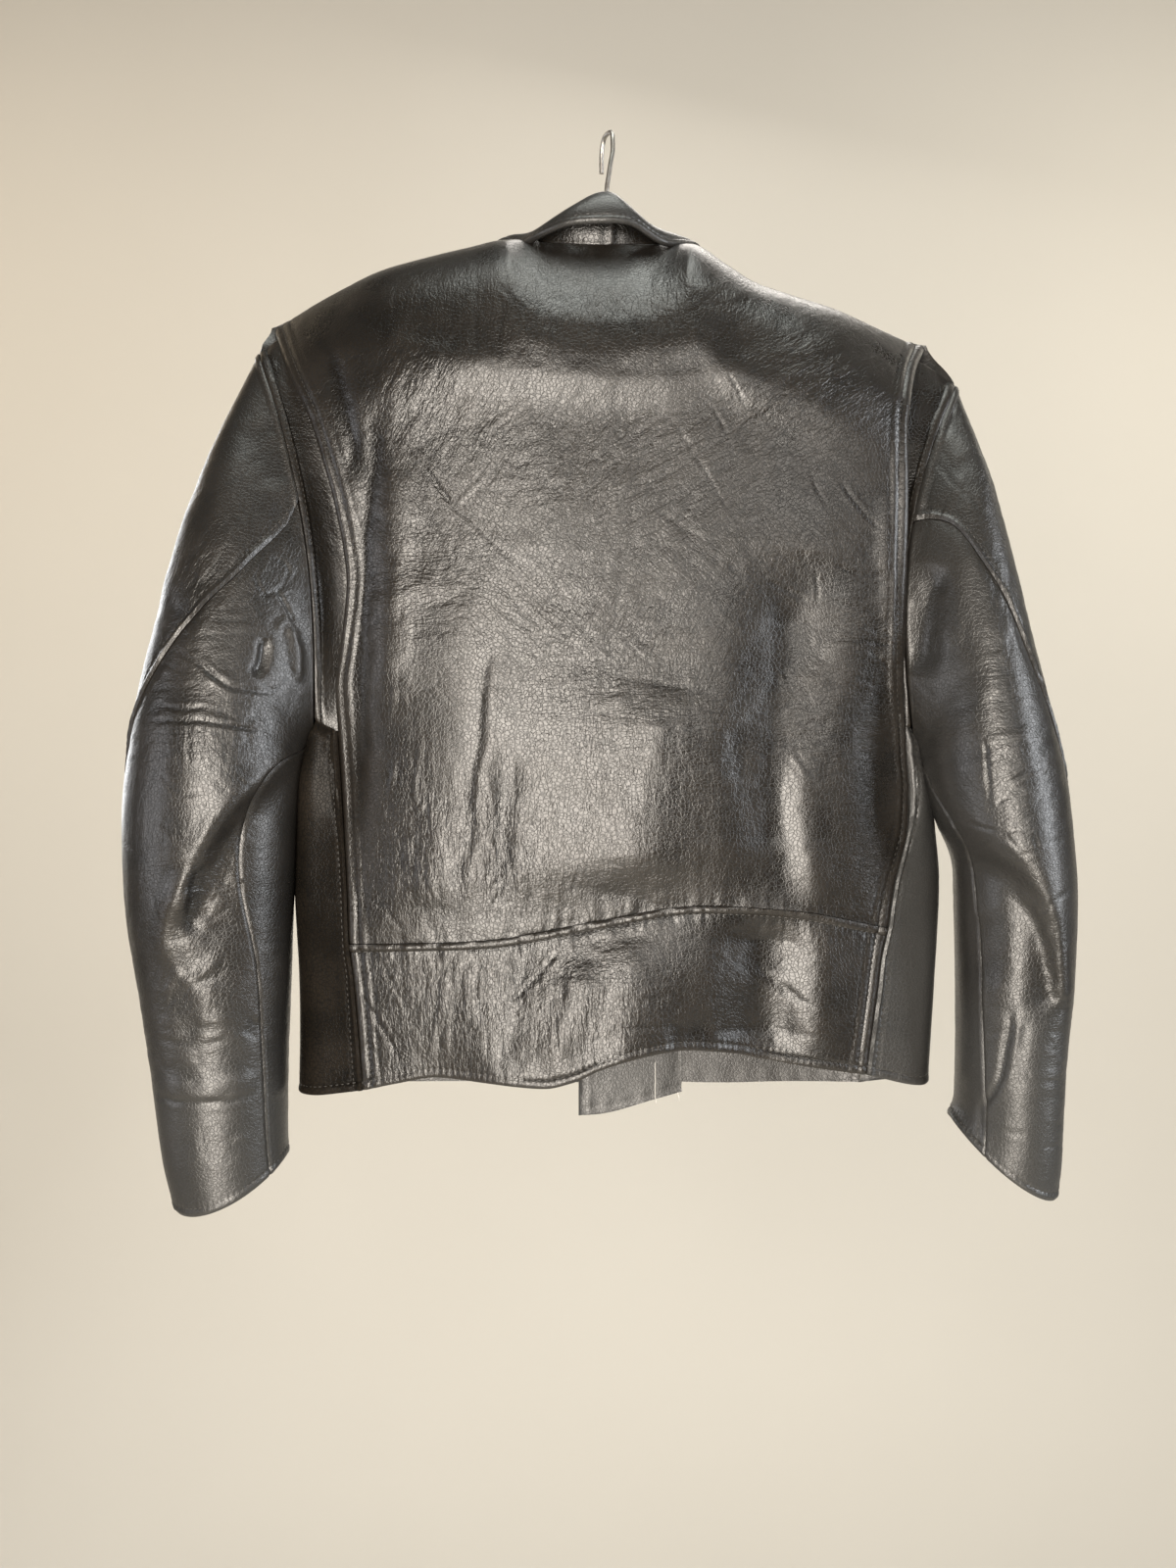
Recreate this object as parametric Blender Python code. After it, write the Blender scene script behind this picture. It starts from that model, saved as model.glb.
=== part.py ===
"""A black leather motorcycle jacket, hanging on a swivel hook hanger and seen from behind.

Metres, +Z up. The origin is the underside of the hook's arch, where the hanger rests on what holds it.
+X is to the wearer's right and -Y is where the back faces. The garment is drawn around its hanger's middle
plane and then moved by HANG to its place under the hook.
"""

import math

import bmesh
import bpy
import numpy as np
from mathutils import Matrix, Vector

HANG = (-0.0017, -0.020, -0.011)
LEATHER = 0.002
SEAM_GAP = 0.0003
RIM_SLOPE = 0.12
SEAM_REACH = 0.0015

# The back, from its waist seam (0) to its neck and shoulder border (1); the waistband is -1 to 0.
BACK_LEFT_X = [(-1, -0.1687), (0, -0.1782), (0.17, -0.1823), (0.34, -0.1870), (0.40, -0.1884), (0.457, -0.1850),
               (0.53, -0.1810), (0.564, -0.1800), (0.618, -0.1823), (0.664, -0.1863), (0.718, -0.1918), (0.771, -0.1990),
               (0.835, -0.2094), (0.889, -0.2210), (1, -0.2430)]
BACK_RIGHT_X = [(-1, 0.1805), (-0.5, 0.1873), (0, 0.1955), (0.068, 0.2000), (0.116, 0.2060), (0.173, 0.2105),
                (0.222, 0.2110), (0.27, 0.2094), (0.332, 0.2077), (0.413, 0.2055), (0.53, 0.2065), (0.70, 0.2075),
                (0.82, 0.2085), (0.873, 0.2120), (0.94, 0.2208), (1, 0.2340)]
BACK_MIDDLE_DEPTH = [(-1, 0.090), (-0.5, 0.093), (0, 0.089), (0.10, 0.098), (0.25, 0.100), (0.40, 0.096),
                     (0.55, 0.091), (0.70, 0.087), (0.80, 0.084), (0.90, 0.078), (1, 0.070)]
BACK_LEFT_DEPTH = [(-1, 0.066), (0, 0.068), (0.13, 0.064), (0.28, 0.062), (0.41, 0.066), (0.55, 0.069),
                   (0.69, 0.068), (0.82, 0.058), (0.92, 0.042), (1, 0.022)]
BACK_RIGHT_DEPTH = [(-1, 0.062), (0, 0.064), (0.11, 0.061), (0.27, 0.058), (0.41, 0.066), (0.55, 0.071),
                    (0.70, 0.074), (0.84, 0.066), (0.94, 0.044), (1, 0.022)]
BACK_ROUNDNESS = 3.2
SHOULDER_ROUNDING = 0.15
# Across the back, 0 at its left edge and 1 at its right edge.
WAIST_SEAM_Z = [(0, -0.583), (0.25, -0.579), (0.45, -0.566), (0.65, -0.555), (0.82, -0.559), (1, -0.572)]
BACK_HEM_Z = [(0, -0.6845), (0.07, -0.6785), (0.15, -0.6734), (0.25, -0.6752), (0.36, -0.6775), (0.417, -0.6731),
              (0.475, -0.6639), (0.565, -0.6557), (0.63, -0.6535), (0.745, -0.6584), (0.785, -0.6618),
              (0.88, -0.6678), (1, -0.6744)]
HEM_WAVE = [(0, 0), (0.15, 0.004), (0.30, -0.006), (0.50, -0.010), (0.66, 0.004), (0.80, 0.014), (0.93, 0.006), (1, 0)]
SHOULDER_LINE = [(-0.243, -0.141), (-0.227, -0.1306), (-0.1955, -0.1130), (-0.164, -0.0985), (-0.135, -0.0905),
                 (-0.100, -0.0825), (-0.071, -0.0770), (-0.040, -0.0850), (-0.005, -0.0890), (0.033, -0.0860),
                 (0.061, -0.0800), (0.088, -0.0950), (0.109, -0.1075), (0.131, -0.1150), (0.167, -0.1260),
                 (0.203, -0.1416), (0.221, -0.1490), (0.234, -0.1530)]
NECK_DEPTH = [(-0.071, 0), (-0.062, 0.012), (-0.045, 0.026), (-0.025, 0.035), (-0.005, 0.038), (0.018, 0.035),
              (0.037, 0.026), (0.053, 0.012), (0.061, 0)]
NECK_LEFT, NECK_RIGHT = -0.071, 0.061
UPPER_BACK_FOLD = 0.006

FRONT_DEPTH = 0.010
FRONT_ROUNDING = 0.016
HEM_Z = -0.692
ARM_PLACE = 0.333
# The places on the armhole seam that its panels share: the under sleeve's, then the upper sleeve's.
UNDER_TURNS = np.array([-178, -169, -160, -150, -140, -130, -120, -108, -94, -80.0])
UPPER_TURNS = np.array([-80, -60, -40, -20, 0, 25, 50, 74, 98, 122, 145, 163, 182.0])
GUSSET_TURN, FRONT_SIDE_TURN = -160, 145
BACK_UP = np.array([0, 0.083, 0.167, 0.25, ARM_PLACE, 0.42, 0.50, 0.585, 0.67, 0.755, 0.84, 0.905, 0.950, 0.982, 0.995, 1])
BAND_UP = np.linspace(-1, 0, 6)

LEFT = {
    "name": "left",
    "edge": 0.0,
    "inward": 1.0,
    "ring_inset": 0.018,
    "outer": [(0, (-0.251, -0.014, -0.161)), (0.13, (-0.284, -0.042, -0.250)), (0.29, (-0.315, -0.050, -0.362)),
              (0.41, (-0.331, -0.052, -0.438)), (0.51, (-0.337, -0.052, -0.500)), (0.61, (-0.335, -0.050, -0.560)),
              (0.72, (-0.327, -0.046, -0.622)), (0.82, (-0.320, -0.042, -0.680)), (0.92, (-0.313, -0.040, -0.734)),
              (1, (-0.305, -0.038, -0.768))],
    "inner": [(0, (-0.204, -0.048, -0.436)), (0.13, (-0.2085, -0.046, -0.447)), (0.29, (-0.212, -0.050, -0.460)),
              (0.41, (-0.2145, -0.052, -0.480)), (0.51, (-0.217, -0.052, -0.508)), (0.61, (-0.220, -0.050, -0.555)),
              (0.72, (-0.2225, -0.046, -0.612)), (0.82, (-0.225, -0.042, -0.668)), (0.92, (-0.226, -0.040, -0.712)),
              (1, (-0.2255, -0.038, -0.735))],
    "depths": [(0, (0.032, 0.040)), (0.13, (0.047, 0.050)), (0.29, (0.058, 0.058)), (0.41, (0.062, 0.060)),
               (0.51, (0.060, 0.060)), (0.61, (0.055, 0.056)), (0.72, (0.050, 0.050)), (0.82, (0.045, 0.045)),
               (0.92, (0.042, 0.042)), (1, (0.040, 0.040))],
    "elbow_fold": [(-0.190, -0.437), (-0.227, -0.472), (-0.263, -0.519), (-0.276, -0.557)],
    "back_seam": [(0, -80), (0.03, -83), (0.115, -80), (0.215, -68), (0.28, -55), (0.34, -40), (0.42, -15), (0.5, 2),
                  (0.70, 18), (1, 24)],
    "inner_seam": [(0, -178), (0.20, -165), (0.40, -135), (0.55, -120), (0.70, -135), (0.85, -141), (1, -144)],
    "side_x": [(0, -0.2185), (0.35, -0.2185), (0.6, -0.2165), (0.75, -0.2115), (0.88, -0.2045), (1, -0.2000)],
    "front_seam": [(-0.178, 0.006, HEM_Z), (-0.179, 0.007, -0.583), (-0.186, 0.004, -0.500)],
    "hem_corner_z": -0.690,
    "neck_point": NECK_LEFT,
    "tip": 0,
    "cuff_drop": 0.013,
    "cuff_zip_turn": 24,
}
RIGHT = {
    "name": "right",
    "edge": 1.0,
    "inward": -1.0,
    "ring_inset": 0.024,
    "outer": [(0, (0.253, -0.014, -0.184)), (0.13, (0.271, -0.042, -0.258)), (0.29, (0.2945, -0.050, -0.362)),
              (0.41, (0.3105, -0.052, -0.430)), (0.51, (0.3215, -0.054, -0.494)), (0.61, (0.3250, -0.052, -0.556)),
              (0.72, (0.3240, -0.048, -0.620)), (0.82, (0.3210, -0.044, -0.680)), (0.92, (0.3205, -0.040, -0.730)),
              (1, (0.318, -0.038, -0.760))],
    "inner": [(0, (0.214, -0.048, -0.440)), (0.13, (0.2185, -0.046, -0.452)), (0.29, (0.2215, -0.050, -0.464)),
              (0.41, (0.225, -0.052, -0.480)), (0.51, (0.232, -0.054, -0.500)), (0.61, (0.2445, -0.052, -0.532)),
              (0.72, (0.2465, -0.048, -0.598)), (0.82, (0.248, -0.044, -0.655)), (0.92, (0.2475, -0.040, -0.692)),
              (1, (0.2430, -0.038, -0.708))],
    "depths": [(0, (0.030, 0.040)), (0.13, (0.046, 0.050)), (0.29, (0.058, 0.058)), (0.41, (0.062, 0.060)),
               (0.51, (0.062, 0.062)), (0.61, (0.060, 0.060)), (0.72, (0.056, 0.056)), (0.82, (0.050, 0.050)),
               (0.92, (0.046, 0.046)), (1, (0.043, 0.043))],
    "elbow_fold": [(0.206, -0.486), (0.231, -0.510), (0.270, -0.530), (0.293, -0.570), (0.303, -0.615)],
    "back_seam": [(0, -80), (0.03, -74), (0.075, -68), (0.14, -65), (0.225, -56), (0.295, -48), (0.37, -38),
                  (0.45, -20), (0.52, 0), (0.70, 18), (1, 24)],
    "inner_seam": [(0, -178), (0.30, -172), (0.60, -150), (0.80, -138), (0.935, -131), (1, -124)],
    "side_x": [(0, 0.2305), (0.2, 0.2290), (0.4, 0.2300), (0.6, 0.2285), (0.7, 0.2260), (0.82, 0.2200), (0.9, 0.2140),
               (1, 0.2110)],
    "front_seam": [(0.188, 0.006, HEM_Z), (0.189, 0.007, -0.583), (0.196, 0.004, -0.500)],
    "hem_corner_z": -0.683,
    "neck_point": NECK_RIGHT,
    "tip": -1,
    "cuff_drop": 0.013,
    "cuff_zip_turn": 24,
}
GUSSET_TOP, GUSSET_TUCK, GUSSET_SAG = 0.93, 0.055, 0.010
ELBOW_BULGE, ELBOW_DENT = 0.009, 0.010
ELBOW_REACH = 0.045

# The front closing: the zip's line up to where the lapels turn back.
ZIP_FOOT = (0.031, FRONT_DEPTH, -0.690)
ZIP_HEAD = (0.036, FRONT_DEPTH, -0.345)
ZIP_HALF = 0.0037
UNDERLAP_X = (-0.020, 0.056)
UNDERLAP_BOTTOM = [(0, -0.716), (0.15, -0.7155), (0.74, -0.7045), (1, -0.699)]
UNDERLAP_TOP_Z = -0.360

COLLAR_SEAM_LEFT = [(-0.0635, 0.0115, -0.122), (-0.0665, 0.0105, -0.100)]
COLLAR_SEAM_RIGHT = [(0.0565, 0.0105, -0.100), (0.0535, 0.0115, -0.122)]
COLLAR_FOLD = [(-0.0500, 0.0175, -0.124), (-0.0550, 0.0160, -0.0980), (-0.0600, 0.0020, -0.0745),
               (-0.0430, -0.0270, -0.0690), (-0.0198, -0.0400, -0.0588), (-0.0045, -0.0420, -0.0536),
               (0.0044, -0.0415, -0.0540), (0.0148, -0.0385, -0.0622), (0.0253, -0.0330, -0.0710),
               (0.0396, -0.0230, -0.0755), (0.0490, 0.0020, -0.0755), (0.0450, 0.0160, -0.0990), (0.0400, 0.0175, -0.124)]
COLLAR_EDGE = [(-0.1020, 0.0150, -0.1440), (-0.0960, 0.0145, -0.1080), (-0.0890, 0.0130, -0.0880),
               (-0.0790, -0.0010, -0.0745),
               (-0.0440, -0.0420, -0.0765), (-0.0220, -0.0540, -0.0770), (-0.0050, -0.0560, -0.0762),
               (0.0040, -0.0555, -0.0760), (0.0150, -0.0530, -0.0768), (0.0260, -0.0475, -0.0780),
               (0.0420, -0.0370, -0.0792), (0.0690, -0.0010, -0.0795), (0.0785, 0.0130, -0.0920),
               (0.0850, 0.0145, -0.1110), (0.0900, 0.0150, -0.1470)]
COLLAR_SWELL = 0.004
HANGER_LINE = [(-0.186, -0.003, -0.1382), (-0.140, -0.003, -0.1211), (-0.080, -0.003, -0.1032),
               (-0.030, -0.003, -0.0965), (0.000, -0.003, -0.0955), (0.030, -0.003, -0.0980),
               (0.080, -0.003, -0.1132), (0.135, -0.003, -0.1361), (0.176, -0.003, -0.1551)]
HANGER_HEIGHT = [(0, 0.010), (0.25, 0.014), (0.5, 0.017), (0.75, 0.014), (1, 0.010)]
HANGER_HALF = 0.005
WIRE_RADIUS = 0.00175
# A zip slider and its pull as boxes (low corner, high corner), in millimetres: across the zip, down it, and out.
SLIDER_BOXES = [((-4, -5, 0.3), (4, 5, 2.4)), ((-3.4, -4.6, 2.3), (-2.4, -1.4, 5.0)),
                ((2.4, -4.6, 2.3), (3.4, -1.4, 5.0))]
PULL_BOXES = [((-2.0, -3.8, 3.0), (2.0, -2.2, 4.6)), ((-1.5, -2.4, 3.1), (1.5, 4.2, 4.3)),
              ((-3.2, 4.0, 3.1), (3.2, 26.0, 4.3))]
PULL_AXIS = (0, -3.0, 3.8)
# The hook in its hanging place: up from the bar, over, and down on the far side.
HOOK_PATH = [(-0.0017, -0.0230, -0.0897), (-0.0017, -0.0228, -0.0700), (-0.0010, -0.0215, -0.0500),
             (0.0015, -0.0170, -0.0300), (0.0037, -0.0120, -0.0140), (0.0036, -0.0082, -0.0035),
             (0.0020, -0.0040, 0.0012), (0.0000, 0.0000, 0.00175), (-0.0020, 0.0045, 0.0010),
             (-0.0038, 0.0085, -0.0042), (-0.0045, 0.0100, -0.0120), (-0.0045, 0.0102, -0.0240)]

LEATHER_COLOUR = (0.022, 0.020, 0.019, 1)
METAL_COLOUR = (0.55, 0.53, 0.50, 1)
STEEL_COLOUR = (0.62, 0.62, 0.63, 1)
WOOD_COLOUR = (0.35, 0.22, 0.12, 1)


def smooth(knots, at):
    """The smooth curve through (place, value) knots, at the places given."""
    places = np.array([k[0] for k in knots], float)
    values = np.array([k[1] for k in knots], float)
    slopes = calm_slopes(places, values)
    at = np.clip(np.asarray(at, float), places[0], places[-1])
    i = np.clip(np.searchsorted(places, at, side="right") - 1, 0, len(places) - 2)
    step = places[i + 1] - places[i]
    u = (at - places[i]) / step
    if values.ndim > 1:
        step, u = step[..., None], u[..., None]
    return (
        (2 * u**3 - 3 * u**2 + 1) * values[i]
        + (u**3 - 2 * u**2 + u) * step * slopes[i]
        + (3 * u**2 - 2 * u**3) * values[i + 1]
        + (u**3 - u**2) * step * slopes[i + 1]
    )


def calm_slopes(places, values):
    """Slopes at the knots that let the curve rise and fall only where its knots do."""
    step = np.diff(places).reshape((-1,) + (1,) * (values.ndim - 1))
    secant = np.diff(values, axis=0) / step
    before, after = secant[:-1], secant[1:]
    near, far = 2 * step[1:] + step[:-1], step[1:] + 2 * step[:-1]
    same = before * after > 0
    safe_before, safe_after = np.where(same, before, 1), np.where(same, after, 1)
    middle = np.where(same, (near + far) / (near / safe_before + far / safe_after), 0)
    return np.concatenate([secant[:1], middle, secant[-1:]])


def length_places(points):
    length = np.concatenate([[0], np.cumsum(np.linalg.norm(np.diff(points, axis=0), axis=1))])
    return length / length[-1]


def through(points):
    """A curve through points, as a function of 0 to 1 by length along it."""
    points = np.array(points, float)
    knots = list(zip(length_places(points), points))
    return lambda s: smooth(knots, s)


def back_point(across, up):
    """The back's outer face. across runs 0 to 1 from left to right, up as the lists above."""
    across, up = np.broadcast_arrays(np.asarray(across, float), np.asarray(up, float))
    x = (1 - across) * smooth(BACK_LEFT_X, up) + across * smooth(BACK_RIGHT_X, up)
    tip_left, tip_right = BACK_LEFT_X[-1][1], BACK_RIGHT_X[-1][1]
    top_x = (1 - across) * tip_left + across * tip_right
    waist = smooth(WAIST_SEAM_Z, across)
    above = np.clip(up, 0, 1)
    below = np.clip(-up, 0, 1)
    z = waist + above * (smooth(SHOULDER_LINE, top_x) - waist) + below * (smooth(BACK_HEM_Z, across) - waist)
    fullness = 1 - np.abs(2 * across - 1) ** BACK_ROUNDNESS
    edge_depth = (1 - across) * smooth(BACK_LEFT_DEPTH, up) + across * smooth(BACK_RIGHT_DEPTH, up)
    depth = edge_depth + fullness * (smooth(BACK_MIDDLE_DEPTH, up) - edge_depth)
    depth = depth - smooth(HEM_WAVE, across) * below
    depth = depth + UPPER_BACK_FOLD * fullness * np.exp(-(((up - 0.80) / 0.05) ** 2))
    near = np.clip((1 - up) / SHOULDER_ROUNDING, 0, 1)
    over_hanger = np.sqrt(np.clip(1 - (1 - near) ** 2, 0, 1))
    at_neck = 1 - (1 - near) ** 1.6
    neck = smooth(NECK_DEPTH, top_x)
    share = np.clip(neck / 0.030, 0, 1)
    rounding = share * at_neck + (1 - share) * over_hanger
    depth = neck + (depth - neck) * rounding
    return np.stack([x, -depth, z], -1)


def sleeve_point(side, turn, along):
    """A sleeve's outer face. turn is 0 at the outer edge, -90 facing back and 180 inside; along is 0 to 1."""
    turn, along = np.broadcast_arrays(np.asarray(turn, float), np.asarray(along, float))
    outer, inner = smooth(side["outer"], along), smooth(side["inner"], along)
    depths = smooth(side["depths"], along)
    angle = np.radians(turn)
    back = np.sin(angle) < 0
    depth = np.where(back, depths[..., 0], depths[..., 1])
    point = (outer + inner) / 2 + np.cos(angle)[..., None] * (outer - inner) / 2
    point[..., 1] += np.sin(angle) * depth
    inset = side["ring_inset"] * np.clip(1 - along / 0.25, 0, 1) ** 2
    point[..., 0] += side["inward"] * inset * np.sin(angle) ** 2
    facing = np.clip(-np.sin(angle), 0, 1) ** 0.7
    point[..., 2] -= side["cuff_drop"] * facing**2 * np.clip((along - 0.6) / 0.4, 0, 1) ** 2
    point[..., 1] -= facing * elbow_fold(side, point) * np.clip(along / 0.2, 0, 1)
    return point


def elbow_fold(side, point):
    """How far the sleeve swells above its elbow fold, or sinks below it."""
    line = through([(x, 0.0, z) for x, z in side["elbow_fold"]])(np.linspace(0, 1, 25))
    flat = point[..., None, [0, 2]] - line[:, [0, 2]]
    distance = np.linalg.norm(flat, axis=-1)
    nearest = distance.argmin(-1)
    gap = distance.min(-1)
    tangent = np.gradient(line[:, [0, 2]], axis=0)
    tangent /= np.linalg.norm(tangent, axis=1)[:, None]
    away = np.take_along_axis(flat, nearest[..., None, None], -2)[..., 0, :]
    t = tangent[nearest]
    sign = np.sign(t[..., 0] * away[..., 1] - t[..., 1] * away[..., 0]) * -side["inward"]
    signed = gap * sign
    step = np.tanh(signed / 0.006)
    return np.where(step > 0, ELBOW_BULGE, ELBOW_DENT) * step * np.exp(-gap / ELBOW_REACH)


def ring(side, turn):
    """The armhole seam, where the sleeve starts."""
    return sleeve_point(side, turn, 0.0)


def border_inset(grid, distance):
    """The grid with its border moved in along its own surface."""
    moved = grid.copy()
    for first, second in ((0, 1), (-1, -2)):
        step = grid[second] - grid[first]
        moved[first] += step / np.linalg.norm(step, axis=-1, keepdims=True) * distance
        step = grid[:, second] - grid[:, first]
        moved[:, first] += step / np.linalg.norm(step, axis=-1, keepdims=True) * distance
    return moved


def normals(grid, inside):
    """Unit normals of a grid, pointing away from the inside point."""
    normal = np.cross(np.gradient(grid, axis=0), np.gradient(grid, axis=1))
    normal /= np.maximum(np.linalg.norm(normal, axis=-1, keepdims=True), 1e-12)
    if (normal * (grid - np.asarray(inside, float))).sum() < 0:
        normal = -normal
    return normal


def wall(name, grid, inside, material, thickness=LEATHER):
    """Keeps a leather wall, whose outer face is the grid, until all its neighbours are known."""
    panels.append((name, grid, normals(grid, inside), material, thickness))


def border_places(rows, columns):
    """The row and column of each border point of a grid, in order round it."""
    number = np.arange(rows * columns).reshape(rows, columns)
    loop = [*number[0], *number[1:, -1], *number[-1, -2::-1], *number[-2:0:-1, 0]]
    return np.array(loop)


def border_samples(grid, normal):
    """Points and normals close together round a grid's border."""
    loop = border_places(*grid.shape[:2])
    points, facing = grid.reshape(-1, 3)[loop], normal.reshape(-1, 3)[loop]
    share = np.linspace(0, 1, 12, endpoint=False)[None, :, None]
    next_points, next_facing = np.roll(points, -1, 0), np.roll(facing, -1, 0)
    dense = points[:, None] * (1 - share) + next_points[:, None] * share
    dense_facing = facing[:, None] * (1 - share) + next_facing[:, None] * share
    return dense.reshape(-1, 3), dense_facing.reshape(-1, 3)


def build_walls():
    """Builds all walls. Where panels meet, they share one normal, so that their edges lie side by side."""
    samples = [border_samples(grid, normal) for _, grid, normal, _, _ in panels]
    for number, (name, grid, normal, made_of, thickness) in enumerate(panels):
        loop = border_places(*grid.shape[:2])
        points = grid.reshape(-1, 3)[loop]
        own = normal.reshape(-1, 3)[loop]
        found = [[] for _ in loop]
        for other, (dense, facing) in enumerate(samples):
            distance = np.linalg.norm(points[:, None] - dense[None], axis=-1)
            nearest = distance.argmin(1)
            for place in np.nonzero(distance.min(1) < SEAM_REACH)[0]:
                neighbour = own[place] if other == number else facing[nearest[place]]
                found[place].append((panels[other][0].split("_")[0], neighbour))
        shared = normal.reshape(-1, 3).copy()
        shared[loop] = [middle_normal(left_out_folds(name, facings)) for facings in found]
        closed_wall(name, grid, shared.reshape(grid.shape), made_of, thickness)


def left_out_folds(name, facings):
    """Under the arm the sleeve and the side panel hang face to face from their seam and share no normal."""
    if {"side", "sleeve"} <= {kind for kind, _ in facings}:
        dropped = "side" if name.startswith("sleeve") else "sleeve"
        facings = [(kind, facing) for kind, facing in facings if kind != dropped]
    return [facing for _, facing in facings]


def middle_normal(facings):
    """The normal halfway between the surfaces that meet; panels of one smooth surface count once."""
    surfaces = []
    for facing in facings:
        for surface in surfaces:
            total = sum(surface)
            if facing.dot(total) > 0.85 * np.linalg.norm(total) * np.linalg.norm(facing):
                surface.append(facing)
                break
        else:
            surfaces.append([facing])
    total = sum(sum(s) / np.linalg.norm(sum(s)) for s in surfaces)
    return total / np.linalg.norm(total)


def closed_wall(name, grid, normal, made_of, thickness):
    outer = border_inset(grid, SEAM_GAP / 2)
    inner = border_inset(outer, RIM_SLOPE * thickness) - normal * thickness
    rows, columns = grid.shape[:2]
    count = rows * columns
    points = np.concatenate([outer.reshape(-1, 3), inner.reshape(-1, 3)])
    number = np.arange(count).reshape(rows, columns)
    faces = []
    for r in range(rows - 1):
        for c in range(columns - 1):
            quad = (number[r, c], number[r, c + 1], number[r + 1, c + 1], number[r + 1, c])
            faces.append(quad)
            faces.append(tuple(n + count for n in reversed(quad)))
    loop = list(border_places(rows, columns))
    for a, b in zip(loop, loop[1:] + loop[:1]):
        faces.append((b, a, a + count, b + count))
    return add_mesh(name, points, faces, made_of)


def add_mesh(name, points, faces, material):
    """A mesh drawn around the hanger, put in its place under the hook."""
    mesh = bpy.data.meshes.new(name)
    mesh.from_pydata([tuple(p) for p in np.asarray(points) + HANG], [], [tuple(int(n) for n in f) for f in faces])
    bm = bmesh.new()
    bm.from_mesh(mesh)
    bmesh.ops.recalc_face_normals(bm, faces=bm.faces)
    bm.to_mesh(mesh)
    bm.free()
    mesh.shade_smooth()
    mesh.set_sharp_from_angle(angle=math.radians(50))
    mesh.materials.append(material)
    thing = bpy.data.objects.new(name, mesh)
    jacket.objects.link(thing)
    return thing


def coons(bottom, top, left, right):
    """The grid between four borders of points that meet at their ends."""
    u = (length_places(bottom) + length_places(top))[None, :, None] / 2
    v = (length_places(left) + length_places(right))[:, None, None] / 2
    across = (1 - v) * bottom[None] + v * top[None]
    upward = (1 - u) * left[:, None] + u * right[:, None]
    corners = (1 - u) * (1 - v) * bottom[0] + u * (1 - v) * bottom[-1] + (1 - u) * v * top[0] + u * v * top[-1]
    return across + upward - corners


def material(name, colour, roughness, metallic=0.0):
    made = bpy.data.materials.new(name)
    made.use_nodes = True
    shader = made.node_tree.nodes["Principled BSDF"]
    shader.inputs["Base Color"].default_value = colour
    shader.inputs["Roughness"].default_value = roughness
    shader.inputs["Metallic"].default_value = metallic
    made.diffuse_color = colour
    return made


def back_panels():
    """The back in one piece, and the band below its waist seam. Neck points and shoulder tips are grid points."""
    left_tip, right_tip = BACK_LEFT_X[-1][1], BACK_RIGHT_X[-1][1]
    x = np.concatenate([np.linspace(left_tip, NECK_LEFT, 9), np.linspace(NECK_LEFT, NECK_RIGHT, 9)[1:],
                        np.linspace(NECK_RIGHT, right_tip, 9)[1:]])
    across = (x - left_tip) / (right_tip - left_tip)
    wall("back_panel", back_point(across[None, :], BACK_UP[:, None]), (0, 0.3, -0.4), leather)
    wall("back_waistband", back_point(across[None, :], BAND_UP[:, None]), (0, 0.3, -0.6), leather)


def back_facing(across, up):
    """The back's outward normals."""
    small = 0.002
    sideways = back_point(across + small, up) - back_point(across - small, up)
    upward = back_point(across, up + small) - back_point(across, up - small)
    normal = np.cross(sideways, upward)
    return normal / np.linalg.norm(normal, axis=-1, keepdims=True)


def side_up():
    return np.concatenate([BAND_UP, BACK_UP[1:list(BACK_UP).index(ARM_PLACE) + 1]])


def under_arm(side):
    """The top border of the panel under the arm: back edge to armhole seam, and along that."""
    start = back_point(side["edge"], ARM_PLACE)
    seam = ring(side, np.array([GUSSET_TURN, -169, -178, -197, -360 + FRONT_SIDE_TURN]))
    between = [start + (seam[0] - start) * share for share in (0, 0.35, 0.70)]
    return np.concatenate([between, seam])


def side_front_seam(side):
    """The seam of the side panel and the front, hem to armhole."""
    line = through([*side["front_seam"], ring(side, FRONT_SIDE_TURN)])
    up = side_up()
    return line((up - up[0]) / (up[-1] - up[0]))


def side_panel(side):
    """The panel under the arm, from hem to armhole."""
    sign = side["inward"]
    top, right = under_arm(side), side_front_seam(side)
    left = back_point(side["edge"], side_up())
    hem_x, z = side["side_x"][0][1], side["hem_corner_z"]
    bottom = through([left[0], (hem_x + sign * 0.013, -0.055, z), (hem_x, -0.034, z - 0.001),
                      (hem_x + sign * 0.008, -0.011, z - 0.002), right[0]])(length_places(top))
    grid = coons(bottom, top, left, right)
    rows, columns = grid.shape[:2]
    v = length_places(left)
    middle = grid[:, columns // 2, 0]
    swell = np.outer(np.clip(np.sin(v * np.pi), 0, 1) ** 1.0, np.clip(np.sin(length_places(top) * np.pi), 0, 1) ** 1.5)
    grid[..., 0] += (smooth(side["side_x"], v) - middle)[:, None] * swell
    wall(f"side_panel_{side['name']}", grid, (0, -0.04, -0.55), leather)


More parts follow.
